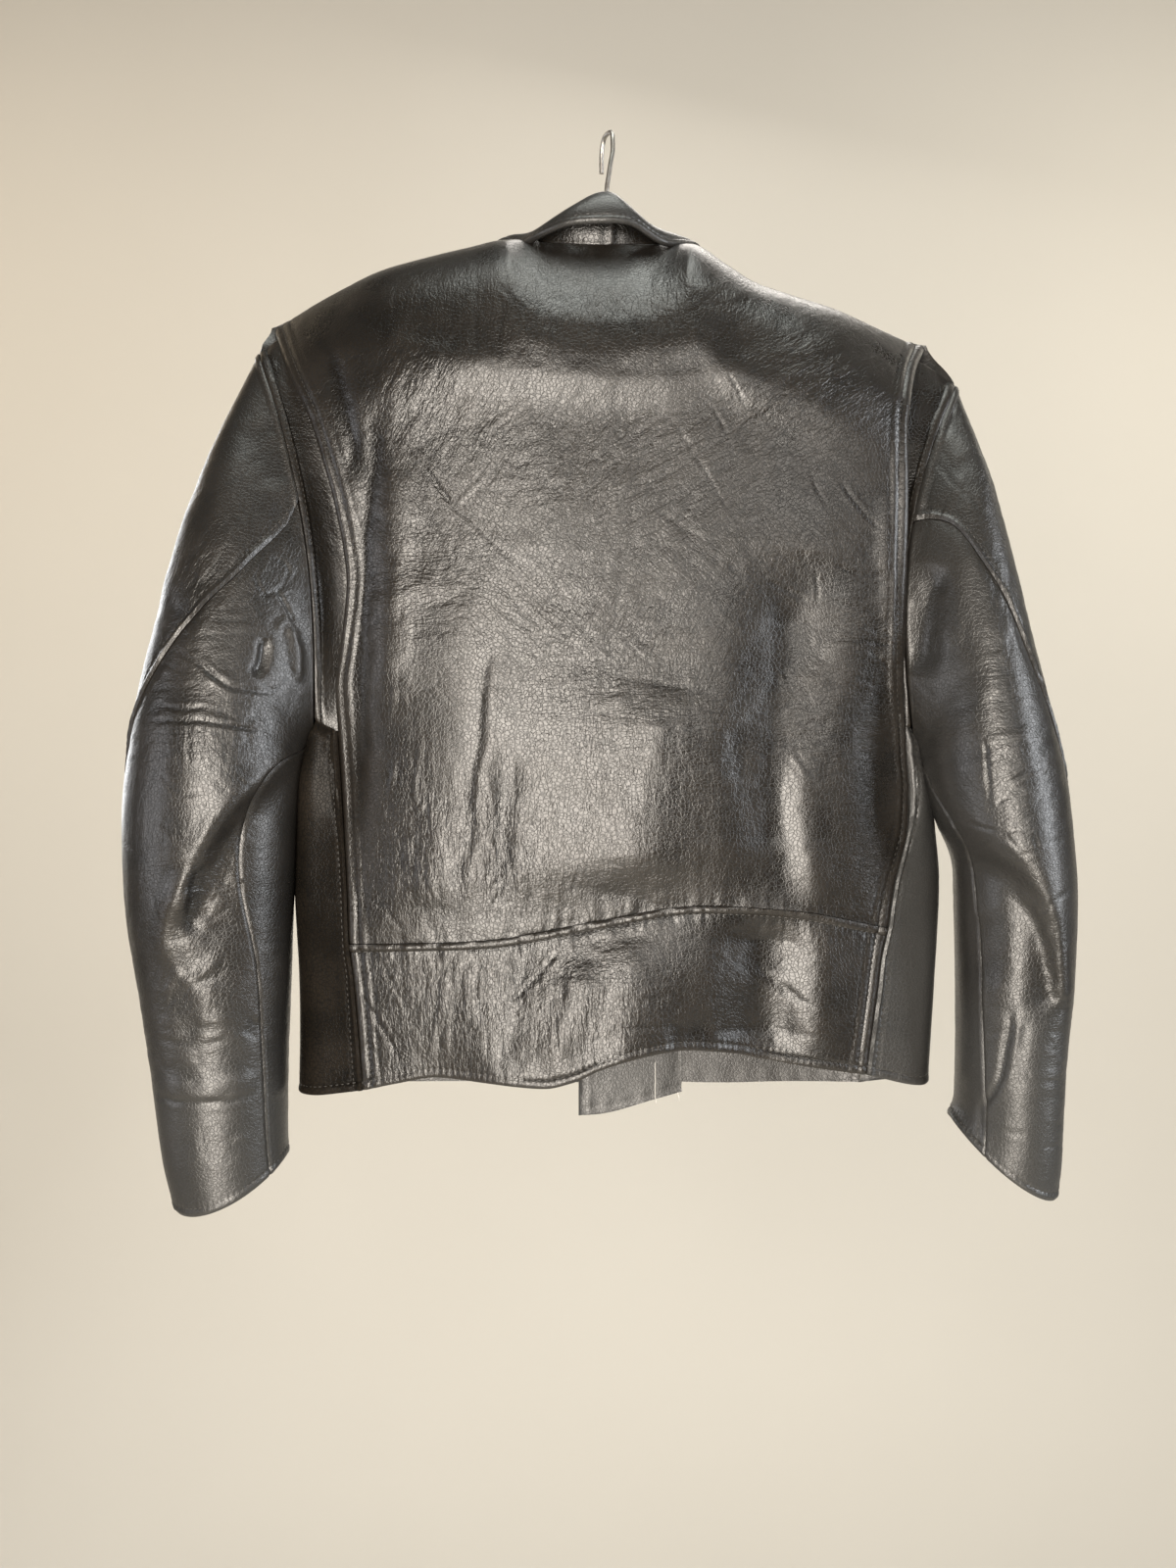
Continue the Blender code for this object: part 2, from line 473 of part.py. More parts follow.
def gusset(side):
    """The pleat behind the shoulder blade, from the armhole seam to under the back's edge."""
    turns = np.concatenate([UNDER_TURNS[list(UNDER_TURNS).index(GUSSET_TURN):], UPPER_TURNS[1:5]])
    left = ring(side, turns)
    places = ARM_PLACE + (GUSSET_TOP - ARM_PLACE) * length_places(left)
    under = side["edge"] + side["inward"] * GUSSET_TUCK
    right = back_point(under, places) - back_facing(np.full_like(places, under), places) * (LEATHER + 0.008)
    share = np.linspace(0, 1, 8)[:, None]
    bottom = left[0] * (1 - share) + right[0] * share + np.array((0, 0.001, 0)) * np.sin(share * np.pi)
    top = left[-1] * (1 - share) + right[-1] * share + np.array((0, 0.002, -0.004)) * np.sin(share * np.pi)
    grid = coons(bottom, top, left, right)
    sag = np.outer(np.sin(length_places(left) * np.pi) ** 0.6, np.sin(share[:, 0] * np.pi))
    grid[..., 1] += GUSSET_SAG * sag
    wall(f"gusset_{side['name']}", grid, (0, 0.1, -0.3), leather)


def sleeve(side):
    """The under sleeve and the upper sleeve, which meet at the back seam and the inner seam."""
    along = np.array([0, 0.06, 0.12, 0.18, 0.24, 0.30, 0.36, 0.42, 0.47, 0.52, 0.57, 0.62, 0.68, 0.75, 0.83, 0.91, 1])
    back_seam = smooth(side["back_seam"], along)[:, None]
    inner_seam = smooth(side["inner_seam"], along)[:, None]
    middle = (smooth(side["outer"], along) + smooth(side["inner"], along)) / 2
    place = ((UNDER_TURNS - UNDER_TURNS[0]) / np.ptp(UNDER_TURNS))[None, :]
    under = sleeve_point(side, inner_seam + (back_seam - inner_seam) * place, along[:, None])
    place = ((UPPER_TURNS - UPPER_TURNS[0]) / np.ptp(UPPER_TURNS))[None, :]
    upper = sleeve_point(side, back_seam + (inner_seam + 360 - back_seam) * place, along[:, None])
    wall(f"sleeve_{side['name']}_under", under, middle[:, None], leather)
    wall(f"sleeve_{side['name']}_upper", upper, middle[:, None], leather)


def shoulder_tip(side):
    x, z = SHOULDER_LINE[side["tip"]]
    return np.array([x, 0, z])


def front_border(side):
    """Side seam and armhole seam of a front, from hem to shoulder."""
    turns = UPPER_TURNS[4:list(UPPER_TURNS).index(FRONT_SIDE_TURN)][::-1]
    armhole = ring(side, turns)
    tip = shoulder_tip(side)
    return np.concatenate([side_front_seam(side), armhole, [(armhole[-1] + tip) / 2, tip]])


def front(side):
    """A front panel, lying flat, up to the zip and the lapel's roll line."""
    sign = side["inward"]
    foot = np.array(ZIP_FOOT) - (sign * (ZIP_HALF + SEAM_GAP), 0, 0.002)
    head = np.array(ZIP_HEAD) - (sign * (ZIP_HALF + SEAM_GAP), 0, 0)
    left = front_border(side)
    x = np.linspace(left[-1][0], side["neck_point"], 9)
    top = np.stack([x, 0 * x, smooth(SHOULDER_LINE, x)], -1)
    roll = (side["neck_point"] + sign * 0.010, FRONT_DEPTH, -0.150)
    opening = through([foot, (foot + head) / 2, head, roll, (roll[0] - sign * 0.006, FRONT_DEPTH, -0.110), top[-1]])
    right = opening(length_places(left))
    start = left[0]
    bottom = through([start, (start * 2 + foot) / 3 + (0, 0.001, 0), (start + foot * 2) / 3 + (0, 0.001, -0.001), foot])
    grid = coons(bottom(np.linspace(0, 1, 9)), top, left, right)
    near = np.clip((grid[-1:, :, 2] - grid[..., 2]) / FRONT_ROUNDING, 0, 1)
    flat = FRONT_DEPTH * np.sqrt(1 - (1 - near) ** 2)
    share = np.clip(np.linspace(0, 1, 9)[None, :] / 0.35, 0, 1) ** 0.8
    grid[:-1, :, 1] = (share * flat + (1 - share) * np.minimum(grid[..., 1], FRONT_DEPTH))[:-1]
    wall(f"front_{side['name']}", grid, (0, -0.3, -0.4), leather)


def underlap():
    """The wind flap behind the zip, sewn inside the right front, longer than the hem."""
    place = np.linspace(0, 1, 9)
    x = UNDERLAP_X[0] + (UNDERLAP_X[1] - UNDERLAP_X[0]) * place
    bottom_z = smooth(UNDERLAP_BOTTOM, place)
    v = np.linspace(0, 1, 9)[:, None]
    z = bottom_z[None] + v * (UNDERLAP_TOP_Z - bottom_z[None])
    y = np.full_like(z, FRONT_DEPTH - LEATHER - 0.0006)
    y = y - 0.004 * (1 - v) ** 3 * (1 - place[None]) ** 0.5
    grid = np.stack([np.broadcast_to(x[None], z.shape), y, z], -1)
    wall("underlap", grid, (0, -0.3, -0.5), leather)


def collar():
    """The stand rises from the neck seam; the fall turns down over it from the fold."""
    place = np.linspace(0, 1, 29)
    x = np.linspace(NECK_LEFT, NECK_RIGHT, 9)
    neck = np.stack([x * 0.98, 0.0010 - smooth(NECK_DEPTH, x) * 0.985, smooth(SHOULDER_LINE, x)], -1)
    seam_line = [*COLLAR_SEAM_LEFT, *neck, *COLLAR_SEAM_RIGHT]
    seam, fold, edge = (through(line)(place) for line in (seam_line, COLLAR_FOLD, COLLAR_EDGE))
    away = seam - fold
    stand_top = fold + away / np.linalg.norm(away, axis=1)[:, None] * 0.0045
    rows = np.linspace(0, 1, 4)[:, None, None]
    stand = seam[None] * (1 - rows) + stand_top[None] * rows
    wall("collar_stand", stand, (0, 0, -0.130), leather)
    rows = np.linspace(0, 1, 7)[:, None, None]
    fall = fold[None] * (1 - rows) + edge[None] * rows
    facing = normals(fall, (0, 0, -0.130))
    fall = fall + facing * np.sin(rows * np.pi) ** 0.8 * COLLAR_SWELL
    wall("collar_fall", fall, (0, 0, -0.130), leather)


def lapel(side):
    """The front's top corner, turned back flat over it."""
    sign = side["inward"]
    places = np.linspace(0, 1, 9)
    y = FRONT_DEPTH + LEATHER + 0.0006
    x = side["neck_point"]
    foot = np.array((ZIP_HEAD[0] - sign * 0.009, y, ZIP_HEAD[2] + 0.006))
    end = np.array((x + sign * 0.008, y + 0.001, -0.158))
    tip = np.array((x - sign * 0.052, y + 0.001, -0.205))
    inner = through([foot, foot * 0.5 + end * 0.5 + (sign * 0.003, 0.002, 0), end])(places)
    outer = through([foot - (sign * 0.006, 0, 0), foot * 0.45 + tip * 0.55 + (-sign * 0.002, 0.001, 0), tip])(places)
    bottom = through([foot, foot - (sign * 0.006, 0, 0)])(np.linspace(0, 1, 5))
    top = through([end, end * 0.5 + tip * 0.5 + (0, 0.001, 0.002), tip])(np.linspace(0, 1, 5))
    grid = coons(bottom, top, inner, outer)
    wall(f"lapel_{side['name']}", grid, (0, -0.3, -0.3), leather)


def strip_on(name, line, across, half, thickness, made_of, lift=0.0003):
    """A closed strip along a line, half its width to each side, lifted off what it lies on."""
    line, across = np.asarray(line, float), np.asarray(across, float)
    along = np.gradient(line, axis=0)
    out = np.cross(along, across)
    out /= np.linalg.norm(out, axis=1)[:, None]
    corners = [(-half, lift), (half, lift), (half, lift + thickness), (-half, lift + thickness)]
    sections = np.stack([line + across * a + out * o for a, o in corners], 1)
    return sweep(name, sections, made_of)


def sweep(name, sections, made_of):
    """A closed solid through rings of points, with flat ends."""
    count, size = sections.shape[:2]
    faces = [tuple(range(size)), tuple(range((count - 1) * size, count * size))]
    for k in range(count - 1):
        for n in range(size):
            m = (n + 1) % size
            faces.append((k * size + n, k * size + m, (k + 1) * size + m, (k + 1) * size + n))
    return add_mesh(name, sections.reshape(-1, 3), faces, made_of)


def front_zip():
    foot, head = np.array(ZIP_FOOT), np.array(ZIP_HEAD)
    line = np.linspace(foot, head, 9)
    across = np.tile((1.0, 0, 0), (9, 1))
    strip_on("front_zip_chain", line - (0, 0.0021, 0), across, ZIP_HALF, 0.0018, metal)
    point = head + (0, 0.0002, -0.008)
    slider("front_zip", point, (0, 0, -1), (0, 1, 0), 1.0)


def cuff_zip(side):
    """A short zip along the cuff's outer edge, lying on the seam there."""
    places = np.linspace(0.82, 0.985, 8)
    turn = side["cuff_zip_turn"]
    line = sleeve_point(side, turn, places)
    across = sleeve_point(side, turn + 6, places) - sleeve_point(side, turn - 6, places)
    across /= np.linalg.norm(across, axis=1)[:, None]
    out = np.cross(np.gradient(line, axis=0), across)
    middle = (smooth(side["outer"], places) + smooth(side["inner"], places)) / 2
    if (out * (line - middle)).sum() < 0:
        across = -across
        out = -out
    name = f"cuff_zip_{side['name']}"
    strip_on(name + "_chain", line, across, 0.0045, 0.0016, metal, lift=0.0006)
    out /= np.linalg.norm(out, axis=1)[:, None]
    down = line[6] - line[4]
    slider(name, line[5] + out[5] * 0.0024, down / np.linalg.norm(down), out[5], 0.85)


def slider(name, point, down, out, size):
    """A zip slider with two lugs, and its pull, which turns between them on an axis across the zip."""
    down, out = np.array(down, float), np.array(out, float)
    out -= down * out.dot(down)
    out /= np.linalg.norm(out)
    turn = Matrix(np.array([np.cross(down, out), down, out]).T.tolist()).to_4x4()
    seat = Matrix.Translation((np.array(point) + HANG).tolist()) @ turn
    block(name + "_slider", SLIDER_BOXES, (0, 0, 0), size, seat)
    block(name + "_pull", PULL_BOXES, PULL_AXIS, size, seat)


def block(name, boxes, origin, size, seat):
    """Boxes in millimetres, (low corner, high corner), joined as one solid whose origin is the given point."""
    shift = Vector(origin) * size / 1000
    things = []
    for low, high in boxes:
        bm = bmesh.new()
        bmesh.ops.create_cube(bm, size=1.0)
        for vert in bm.verts:
            place = [l + (c + 0.5) * (h - l) for l, h, c in zip(low, high, vert.co)]
            vert.co = Vector(place) * size / 1000 - shift
        mesh = bpy.data.meshes.new(name)
        bm.to_mesh(mesh)
        bm.free()
        mesh.materials.append(metal)
        thing = bpy.data.objects.new(name if not things else name + "_more", mesh)
        jacket.objects.link(thing)
        things.append(thing)
    whole = things[0]
    for thing in things[1:]:
        cut = whole.modifiers.new("join", "BOOLEAN")
        cut.operation, cut.solver, cut.object = "UNION", "EXACT", thing
    bpy.context.view_layer.update()
    mesh = bpy.data.meshes.new_from_object(whole.evaluated_get(bpy.context.evaluated_depsgraph_get()))
    whole.modifiers.clear()
    whole.data = mesh
    for thing in things[1:]:
        bpy.data.objects.remove(thing)
    whole.matrix_world = seat @ Matrix.Translation(shift)


def hanger():
    """A plain curved wooden bar inside the shoulders, and its wire hook."""
    turns = np.radians(np.arange(0, 360, 36))
    middle = through(HANGER_LINE)(np.linspace(0, 1, 21))
    along = np.gradient(middle, axis=0)
    along /= np.linalg.norm(along, axis=1)[:, None]
    up = np.stack([-along[:, 2], 0 * along[:, 0], along[:, 0]], 1)
    size = smooth(HANGER_HEIGHT, np.linspace(0, 1, 21))
    sections = [m + np.outer(np.sin(turns), u) * s + np.outer(np.cos(turns), (0, HANGER_HALF, 0))
                for m, u, s in zip(middle, up, size)]
    sweep("hanger_bar", np.array(sections), wood)
    path = through(HOOK_PATH)(np.linspace(0, 1, 28))
    curve = bpy.data.curves.new("hanger_hook", "CURVE")
    curve.dimensions = "3D"
    curve.bevel_depth, curve.bevel_resolution, curve.use_fill_caps = WIRE_RADIUS, 2, True
    line = curve.splines.new("POLY")
    line.points.add(len(path) - 1)
    for spot, place in zip(line.points, path):
        spot.co = (*place, 1)
    curve.materials.append(steel)
    jacket.objects.link(bpy.data.objects.new("hanger_hook", curve))


for old in list(bpy.data.objects):
    bpy.data.objects.remove(old)
jacket = bpy.data.collections.new("leather_jacket")
bpy.context.scene.collection.children.link(jacket)
leather = material("leather", LEATHER_COLOUR, 0.42)
metal = material("zip_metal", METAL_COLOUR, 0.35, 1.0)
steel = material("hook_steel", STEEL_COLOUR, 0.25, 1.0)
wood = material("hanger_wood", WOOD_COLOUR, 0.5)

panels = []
back_panels()
underlap()
collar()
for body_side in (LEFT, RIGHT):
    side_panel(body_side)
    gusset(body_side)
    sleeve(body_side)
    front(body_side)
    lapel(body_side)
build_walls()
front_zip()
cuff_zip(LEFT)
cuff_zip(RIGHT)
hanger()
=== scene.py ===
"""The looks of a black leather motorcycle jacket that hangs on its hanger: leather, seams, stitches, zips, light.

Metres, +Z up, the origin at the underside of the hook's arch, +X to the wearer's right and -Y where the back
faces. The surfaces are the solids' own, drawn more finely; creases and wear are placed on them.
"""

import math

import bmesh
import bpy
import numpy as np
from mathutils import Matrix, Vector


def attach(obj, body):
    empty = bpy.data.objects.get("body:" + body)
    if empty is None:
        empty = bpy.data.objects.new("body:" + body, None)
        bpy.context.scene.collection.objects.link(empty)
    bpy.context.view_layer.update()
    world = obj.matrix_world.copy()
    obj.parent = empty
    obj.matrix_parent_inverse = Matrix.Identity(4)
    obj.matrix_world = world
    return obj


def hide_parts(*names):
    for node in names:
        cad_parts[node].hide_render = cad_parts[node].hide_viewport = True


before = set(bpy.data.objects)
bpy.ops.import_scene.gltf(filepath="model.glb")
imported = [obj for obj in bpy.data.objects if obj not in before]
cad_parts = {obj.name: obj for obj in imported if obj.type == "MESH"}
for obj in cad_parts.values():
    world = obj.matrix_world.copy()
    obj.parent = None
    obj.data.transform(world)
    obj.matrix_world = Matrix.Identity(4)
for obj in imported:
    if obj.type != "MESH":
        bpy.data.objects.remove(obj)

HANG = (-0.0017, -0.020, -0.011)
LEATHER = 0.002
SEAM_GAP = 0.0003

# The back, from its waist seam (0) to its neck and shoulder border (1); the waistband is -1 to 0.
BACK_LEFT_X = [(-1, -0.1687), (0, -0.1782), (0.17, -0.1823), (0.34, -0.1870), (0.40, -0.1884), (0.457, -0.1850),
               (0.53, -0.1810), (0.564, -0.1800), (0.618, -0.1823), (0.664, -0.1863), (0.718, -0.1918),
               (0.771, -0.1990),
               (0.835, -0.2094), (0.889, -0.2210), (1, -0.2430)]
BACK_RIGHT_X = [(-1, 0.1805), (-0.5, 0.1873), (0, 0.1955), (0.068, 0.2000), (0.116, 0.2060), (0.173, 0.2105),
                (0.222, 0.2110), (0.27, 0.2094), (0.332, 0.2077), (0.413, 0.2055), (0.53, 0.2065), (0.70, 0.2075),
                (0.82, 0.2085), (0.873, 0.2120), (0.94, 0.2208), (1, 0.2340)]
BACK_MIDDLE_DEPTH = [(-1, 0.090), (-0.5, 0.093), (0, 0.089), (0.10, 0.098), (0.25, 0.100), (0.40, 0.096),
                     (0.55, 0.091), (0.70, 0.087), (0.80, 0.084), (0.90, 0.078), (1, 0.070)]
BACK_LEFT_DEPTH = [(-1, 0.066), (0, 0.068), (0.13, 0.064), (0.28, 0.062), (0.41, 0.066), (0.55, 0.069),
                   (0.69, 0.068), (0.82, 0.058), (0.92, 0.042), (1, 0.022)]
BACK_RIGHT_DEPTH = [(-1, 0.062), (0, 0.064), (0.11, 0.061), (0.27, 0.058), (0.41, 0.066), (0.55, 0.071),
                    (0.70, 0.074), (0.84, 0.066), (0.94, 0.044), (1, 0.022)]
BACK_ROUNDNESS = 3.2
SHOULDER_ROUNDING = 0.15
# Across the back, 0 at its left edge and 1 at its right edge.
WAIST_SEAM_Z = [(0, -0.583), (0.25, -0.579), (0.45, -0.566), (0.65, -0.555), (0.82, -0.559), (1, -0.572)]
BACK_HEM_Z = [(0, -0.6845), (0.07, -0.6785), (0.15, -0.6734), (0.25, -0.6752), (0.36, -0.6775), (0.417, -0.6731),
              (0.475, -0.6639), (0.565, -0.6557), (0.63, -0.6535), (0.745, -0.6584), (0.785, -0.6618),
              (0.88, -0.6678), (1, -0.6744)]
HEM_WAVE = [(0, 0), (0.15, 0.004), (0.30, -0.006), (0.50, -0.010), (0.66, 0.004), (0.80, 0.014), (0.93, 0.006), (1, 0)]
SHOULDER_LINE = [(-0.243, -0.141), (-0.227, -0.1306), (-0.1955, -0.1130), (-0.164, -0.0985), (-0.135, -0.0905),
                 (-0.100, -0.0825), (-0.071, -0.0770), (-0.040, -0.0850), (-0.005, -0.0890), (0.033, -0.0860),
                 (0.061, -0.0800), (0.088, -0.0950), (0.109, -0.1075), (0.131, -0.1150), (0.167, -0.1260),
                 (0.203, -0.1416), (0.221, -0.1490), (0.234, -0.1530)]
NECK_DEPTH = [(-0.071, 0), (-0.062, 0.012), (-0.045, 0.026), (-0.025, 0.035), (-0.005, 0.038), (0.018, 0.035),
              (0.037, 0.026), (0.053, 0.012), (0.061, 0)]
NECK_LEFT, NECK_RIGHT = -0.071, 0.061
UPPER_BACK_FOLD = 0.006

FRONT_DEPTH = 0.010
FRONT_ROUNDING = 0.016
HEM_Z = -0.692
ARM_PLACE = 0.333
# The places on the armhole seam that its panels share: the under sleeve's, then the upper sleeve's.
UNDER_TURNS = np.array([-178, -169, -160, -150, -140, -130, -120, -108, -94, -80.0])
UPPER_TURNS = np.array([-80, -60, -40, -20, 0, 25, 50, 74, 98, 122, 145, 163, 182.0])
GUSSET_TURN, FRONT_SIDE_TURN = -160, 145
BACK_UP = np.array([0, 0.083, 0.167, 0.25, ARM_PLACE, 0.42, 0.50, 0.585, 0.67, 0.755, 0.84, 0.905, 0.950, 0.982,
                    0.995, 1])
BAND_UP = np.linspace(-1, 0, 6)

SLEEVE_PLACES = (0, 0.13, 0.29, 0.41, 0.51, 0.61, 0.72, 0.82, 0.92, 1)


def along_sleeve(*values):
    """Values at the places that a sleeve's lists share."""
    return list(zip(SLEEVE_PLACES, values))


LEFT = {
    "name": "left",
    "edge": 0.0,
    "inward": 1.0,
    "ring_inset": 0.018,
    "outer": along_sleeve((-0.251, -0.014, -0.161), (-0.284, -0.042, -0.250), (-0.315, -0.050, -0.362),
        (-0.331, -0.052, -0.438), (-0.337, -0.052, -0.500), (-0.335, -0.050, -0.560),
        (-0.327, -0.046, -0.622), (-0.320, -0.042, -0.680), (-0.313, -0.040, -0.734),
        (-0.305, -0.038, -0.768)),
    "inner": along_sleeve((-0.204, -0.048, -0.436), (-0.2085, -0.046, -0.447), (-0.212, -0.050, -0.460),
        (-0.2145, -0.052, -0.480), (-0.217, -0.052, -0.508), (-0.220, -0.050, -0.555),
        (-0.2225, -0.046, -0.612), (-0.225, -0.042, -0.668), (-0.226, -0.040, -0.712),
        (-0.2255, -0.038, -0.735)),
    "depths": along_sleeve((0.032, 0.040), (0.047, 0.050), (0.058, 0.058), (0.062, 0.060), (0.060, 0.060),
        (0.055, 0.056), (0.050, 0.050), (0.045, 0.045), (0.042, 0.042), (0.040, 0.040)),
    "elbow_fold": [(-0.190, -0.437), (-0.227, -0.472), (-0.263, -0.519), (-0.276, -0.557)],
    "back_seam": [(0, -80), (0.03, -83), (0.115, -80), (0.215, -68), (0.28, -55), (0.34, -40), (0.42, -15), (0.5, 2),
                  (0.70, 18), (1, 24)],
    "inner_seam": [(0, -178), (0.20, -165), (0.40, -135), (0.55, -120), (0.70, -135), (0.85, -141), (1, -144)],
    "side_x": [(0, -0.2185), (0.35, -0.2185), (0.6, -0.2165), (0.75, -0.2115), (0.88, -0.2045), (1, -0.2000)],
    "front_seam": [(-0.178, 0.006, HEM_Z), (-0.179, 0.007, -0.583), (-0.186, 0.004, -0.500)],
    "hem_corner_z": -0.690,
    "neck_point": NECK_LEFT,
    "tip": 0,
    "cuff_drop": 0.013,
    "cuff_zip_turn": 24,
}
RIGHT = {
    "name": "right",
    "edge": 1.0,
    "inward": -1.0,
    "ring_inset": 0.024,
    "outer": along_sleeve((0.253, -0.014, -0.184), (0.271, -0.042, -0.258), (0.2945, -0.050, -0.362),
        (0.3105, -0.052, -0.430), (0.3215, -0.054, -0.494), (0.3250, -0.052, -0.556),
        (0.3240, -0.048, -0.620), (0.3210, -0.044, -0.680), (0.3205, -0.040, -0.730),
        (0.318, -0.038, -0.760)),
    "inner": along_sleeve((0.214, -0.048, -0.440), (0.2185, -0.046, -0.452), (0.2215, -0.050, -0.464),
        (0.225, -0.052, -0.480), (0.232, -0.054, -0.500), (0.2445, -0.052, -0.532),
        (0.2465, -0.048, -0.598), (0.248, -0.044, -0.655), (0.2475, -0.040, -0.692),
        (0.2430, -0.038, -0.708)),
    "depths": along_sleeve((0.030, 0.040), (0.046, 0.050), (0.058, 0.058), (0.062, 0.060), (0.062, 0.062),
        (0.060, 0.060), (0.056, 0.056), (0.050, 0.050), (0.046, 0.046), (0.043, 0.043)),
    "elbow_fold": [(0.206, -0.486), (0.231, -0.510), (0.270, -0.530), (0.293, -0.570), (0.303, -0.615)],
    "back_seam": [(0, -80), (0.03, -74), (0.075, -68), (0.14, -65), (0.225, -56), (0.295, -48), (0.37, -38),
                  (0.45, -20), (0.52, 0), (0.70, 18), (1, 24)],
    "inner_seam": [(0, -178), (0.30, -172), (0.60, -150), (0.80, -138), (0.935, -131), (1, -124)],
    "side_x": [(0, 0.2305), (0.2, 0.2290), (0.4, 0.2300), (0.6, 0.2285), (0.7, 0.2260), (0.82, 0.2200), (0.9, 0.2140),
               (1, 0.2110)],
    "front_seam": [(0.188, 0.006, HEM_Z), (0.189, 0.007, -0.583), (0.196, 0.004, -0.500)],
    "hem_corner_z": -0.683,
    "neck_point": NECK_RIGHT,
    "tip": -1,
    "cuff_drop": 0.013,
    "cuff_zip_turn": 24,
}
GUSSET_TOP, GUSSET_TUCK, GUSSET_SAG = 0.978, 0.055, 0.010
ELBOW_BULGE, ELBOW_DENT = 0.009, 0.010
ELBOW_REACH, ELBOW_SOFTNESS = 0.045, 0.006

# The front closing: the zip's line up to where the lapels turn back.
ZIP_FOOT = (0.031, FRONT_DEPTH, -0.690)
ZIP_HEAD = (0.036, FRONT_DEPTH, -0.345)
ZIP_HALF = 0.0037
UNDERLAP_X = (-0.020, 0.056)
UNDERLAP_BOTTOM = [(0, -0.716), (0.15, -0.7155), (0.74, -0.7045), (1, -0.699)]
UNDERLAP_TOP_Z = -0.360

COLLAR_SEAM_LEFT = [(-0.0635, 0.0115, -0.122), (-0.0665, 0.0105, -0.100)]
COLLAR_SEAM_RIGHT = [(0.0565, 0.0105, -0.100), (0.0535, 0.0115, -0.122)]
COLLAR_FOLD = [(-0.0500, 0.0175, -0.124), (-0.0550, 0.0160, -0.0980), (-0.0600, 0.0020, -0.0745),
               (-0.0430, -0.0270, -0.0738), (-0.0198, -0.0400, -0.0612), (-0.0045, -0.0420, -0.0536),
               (0.0044, -0.0415, -0.0540), (0.0148, -0.0385, -0.0622), (0.0253, -0.0330, -0.0710),
               (0.0396, -0.0230, -0.0755), (0.0490, 0.0020, -0.0755), (0.0450, 0.0160, -0.0990),
               (0.0400, 0.0175, -0.124)]
COLLAR_EDGE = [(-0.1020, 0.0150, -0.1440), (-0.0960, 0.0145, -0.1080), (-0.0890, 0.0130, -0.0880),
               (-0.0790, -0.0010, -0.0755), (-0.0625, -0.0215, -0.0868),
               (-0.0440, -0.0420, -0.0840), (-0.0220, -0.0540, -0.0808), (-0.0050, -0.0560, -0.0806),
               (0.0040, -0.0555, -0.0804), (0.0150, -0.0530, -0.0804), (0.0260, -0.0475, -0.0842),
               (0.0420, -0.0370, -0.0895), (0.0690, -0.0010, -0.0795), (0.0785, 0.0130, -0.0920),
               (0.0850, 0.0145, -0.1110), (0.0900, 0.0150, -0.1470)]
COLLAR_SWELL = 0.004
WIRE_RADIUS = 0.00175
# A zip slider and its pull as boxes (low corner, high corner), in millimetres: across the zip, down it, and out.
SLIDER_BOXES = [((-4, -5, 0.3), (4, 5, 2.4)), ((-3.4, -4.6, 2.3), (-2.4, -1.4, 5.0)),
                ((2.4, -4.6, 2.3), (3.4, -1.4, 5.0))]
PULL_BOXES = [((-2.0, -3.8, 3.0), (2.0, -2.2, 4.6)), ((-1.5, -2.4, 3.1), (1.5, 4.2, 4.3)),
              ((-3.2, 4.0, 3.1), (3.2, 26.0, 4.3))]
# The hook in its hanging place: up from the bar, over, and down on the far side.
HOOK_PATH = [(-0.0017, -0.0230, -0.0897), (-0.0017, -0.0228, -0.0700), (-0.0010, -0.0215, -0.0500),
             (0.0015, -0.0170, -0.0300), (0.0037, -0.0120, -0.0140), (0.0036, -0.0082, -0.0035),
             (0.0020, -0.0040, 0.0012), (0.0000, 0.0000, 0.00175), (-0.0020, 0.0045, 0.0010),
             (-0.0038, 0.0085, -0.0042), (-0.0045, 0.0100, -0.0120), (-0.0045, 0.0102, -0.0240)]

RIM_SLOPE, RIM_INSET = 0.12, 0.00015
# The eye that the photograph was taken with, in the garment's own place, and its distance from the back's plane.
EYE = (-0.0129, -1.15, -0.4724)
EYE_DISTANCE = 1.07
CAMERA_PLACE = (-0.0146, -1.17, -0.4834)

# The ways that small wrinkles run, in degrees from level.
WAYS = {"up": 90, "steep": 62, "rise": 33, "level": 4, "fall": -42}
WRINKLE_HEIGHT = 0.6
# The swelling under each arm: its height in mm, the level of its middle and its reach up and down.
UNDERARM_BULGE, UNDERARM_LEVEL, UNDERARM_REACH = 10.0, -0.468, 0.034
# Small wrinkles: length, width and depth of their pads, the shift of their noise, and their share of the height.
WRINKLE_PADS = [((0.034, 0.0085, 0.030), 0, 1.0), ((0.019, 0.0050, 0.017), 9, 0.5)]
SLEEVE_WRINKLES = 1.6
# Stitches: pitch in mm, the share of it that a stitch covers, the thread's radius and how deep its ends dip.
STITCH_PITCH, STITCH_SHARE = 4.3, 0.62
THREAD_RADIUS, STITCH_DIP = 0.00040, 0.0004
LOOSE_THREAD_RADIUS = 0.00032
GRAIN_SIZE = 0.0026
GRAIN_HEIGHT = 0.06
FINE_HEIGHT = 0.012
FINE_WRINKLE_HEIGHT = 0.18
# Painted shade: the colour that the grain's grooves are darkened towards.
PAINTED_GROOVE_SHADE = (0.003, 0.003, 0.003, 1)
DEEP_COLOUR = (0.0045, 0.0037, 0.0028, 1)
WORN_COLOUR = (0.012, 0.0096, 0.0072, 1)
# Partly painted light: the grey that panels are lightened towards, as real fade and as painted light where light falls.
FADED_AND_PAINTED_LIGHT_COLOUR = (0.026, 0.026, 0.025, 1)
LEATHER_ROUGHNESS = (0.22, 0.34)
TOOTH_PITCH = 0.0014
TOOTH_OFFSET = 0.0011
TOOTH_HALF = (0.0013, 0.00045, 0.0007)
TOOTH_BEVEL = 0.00025
TAPE, TAPE_DROP = 0.0006, 0.0004
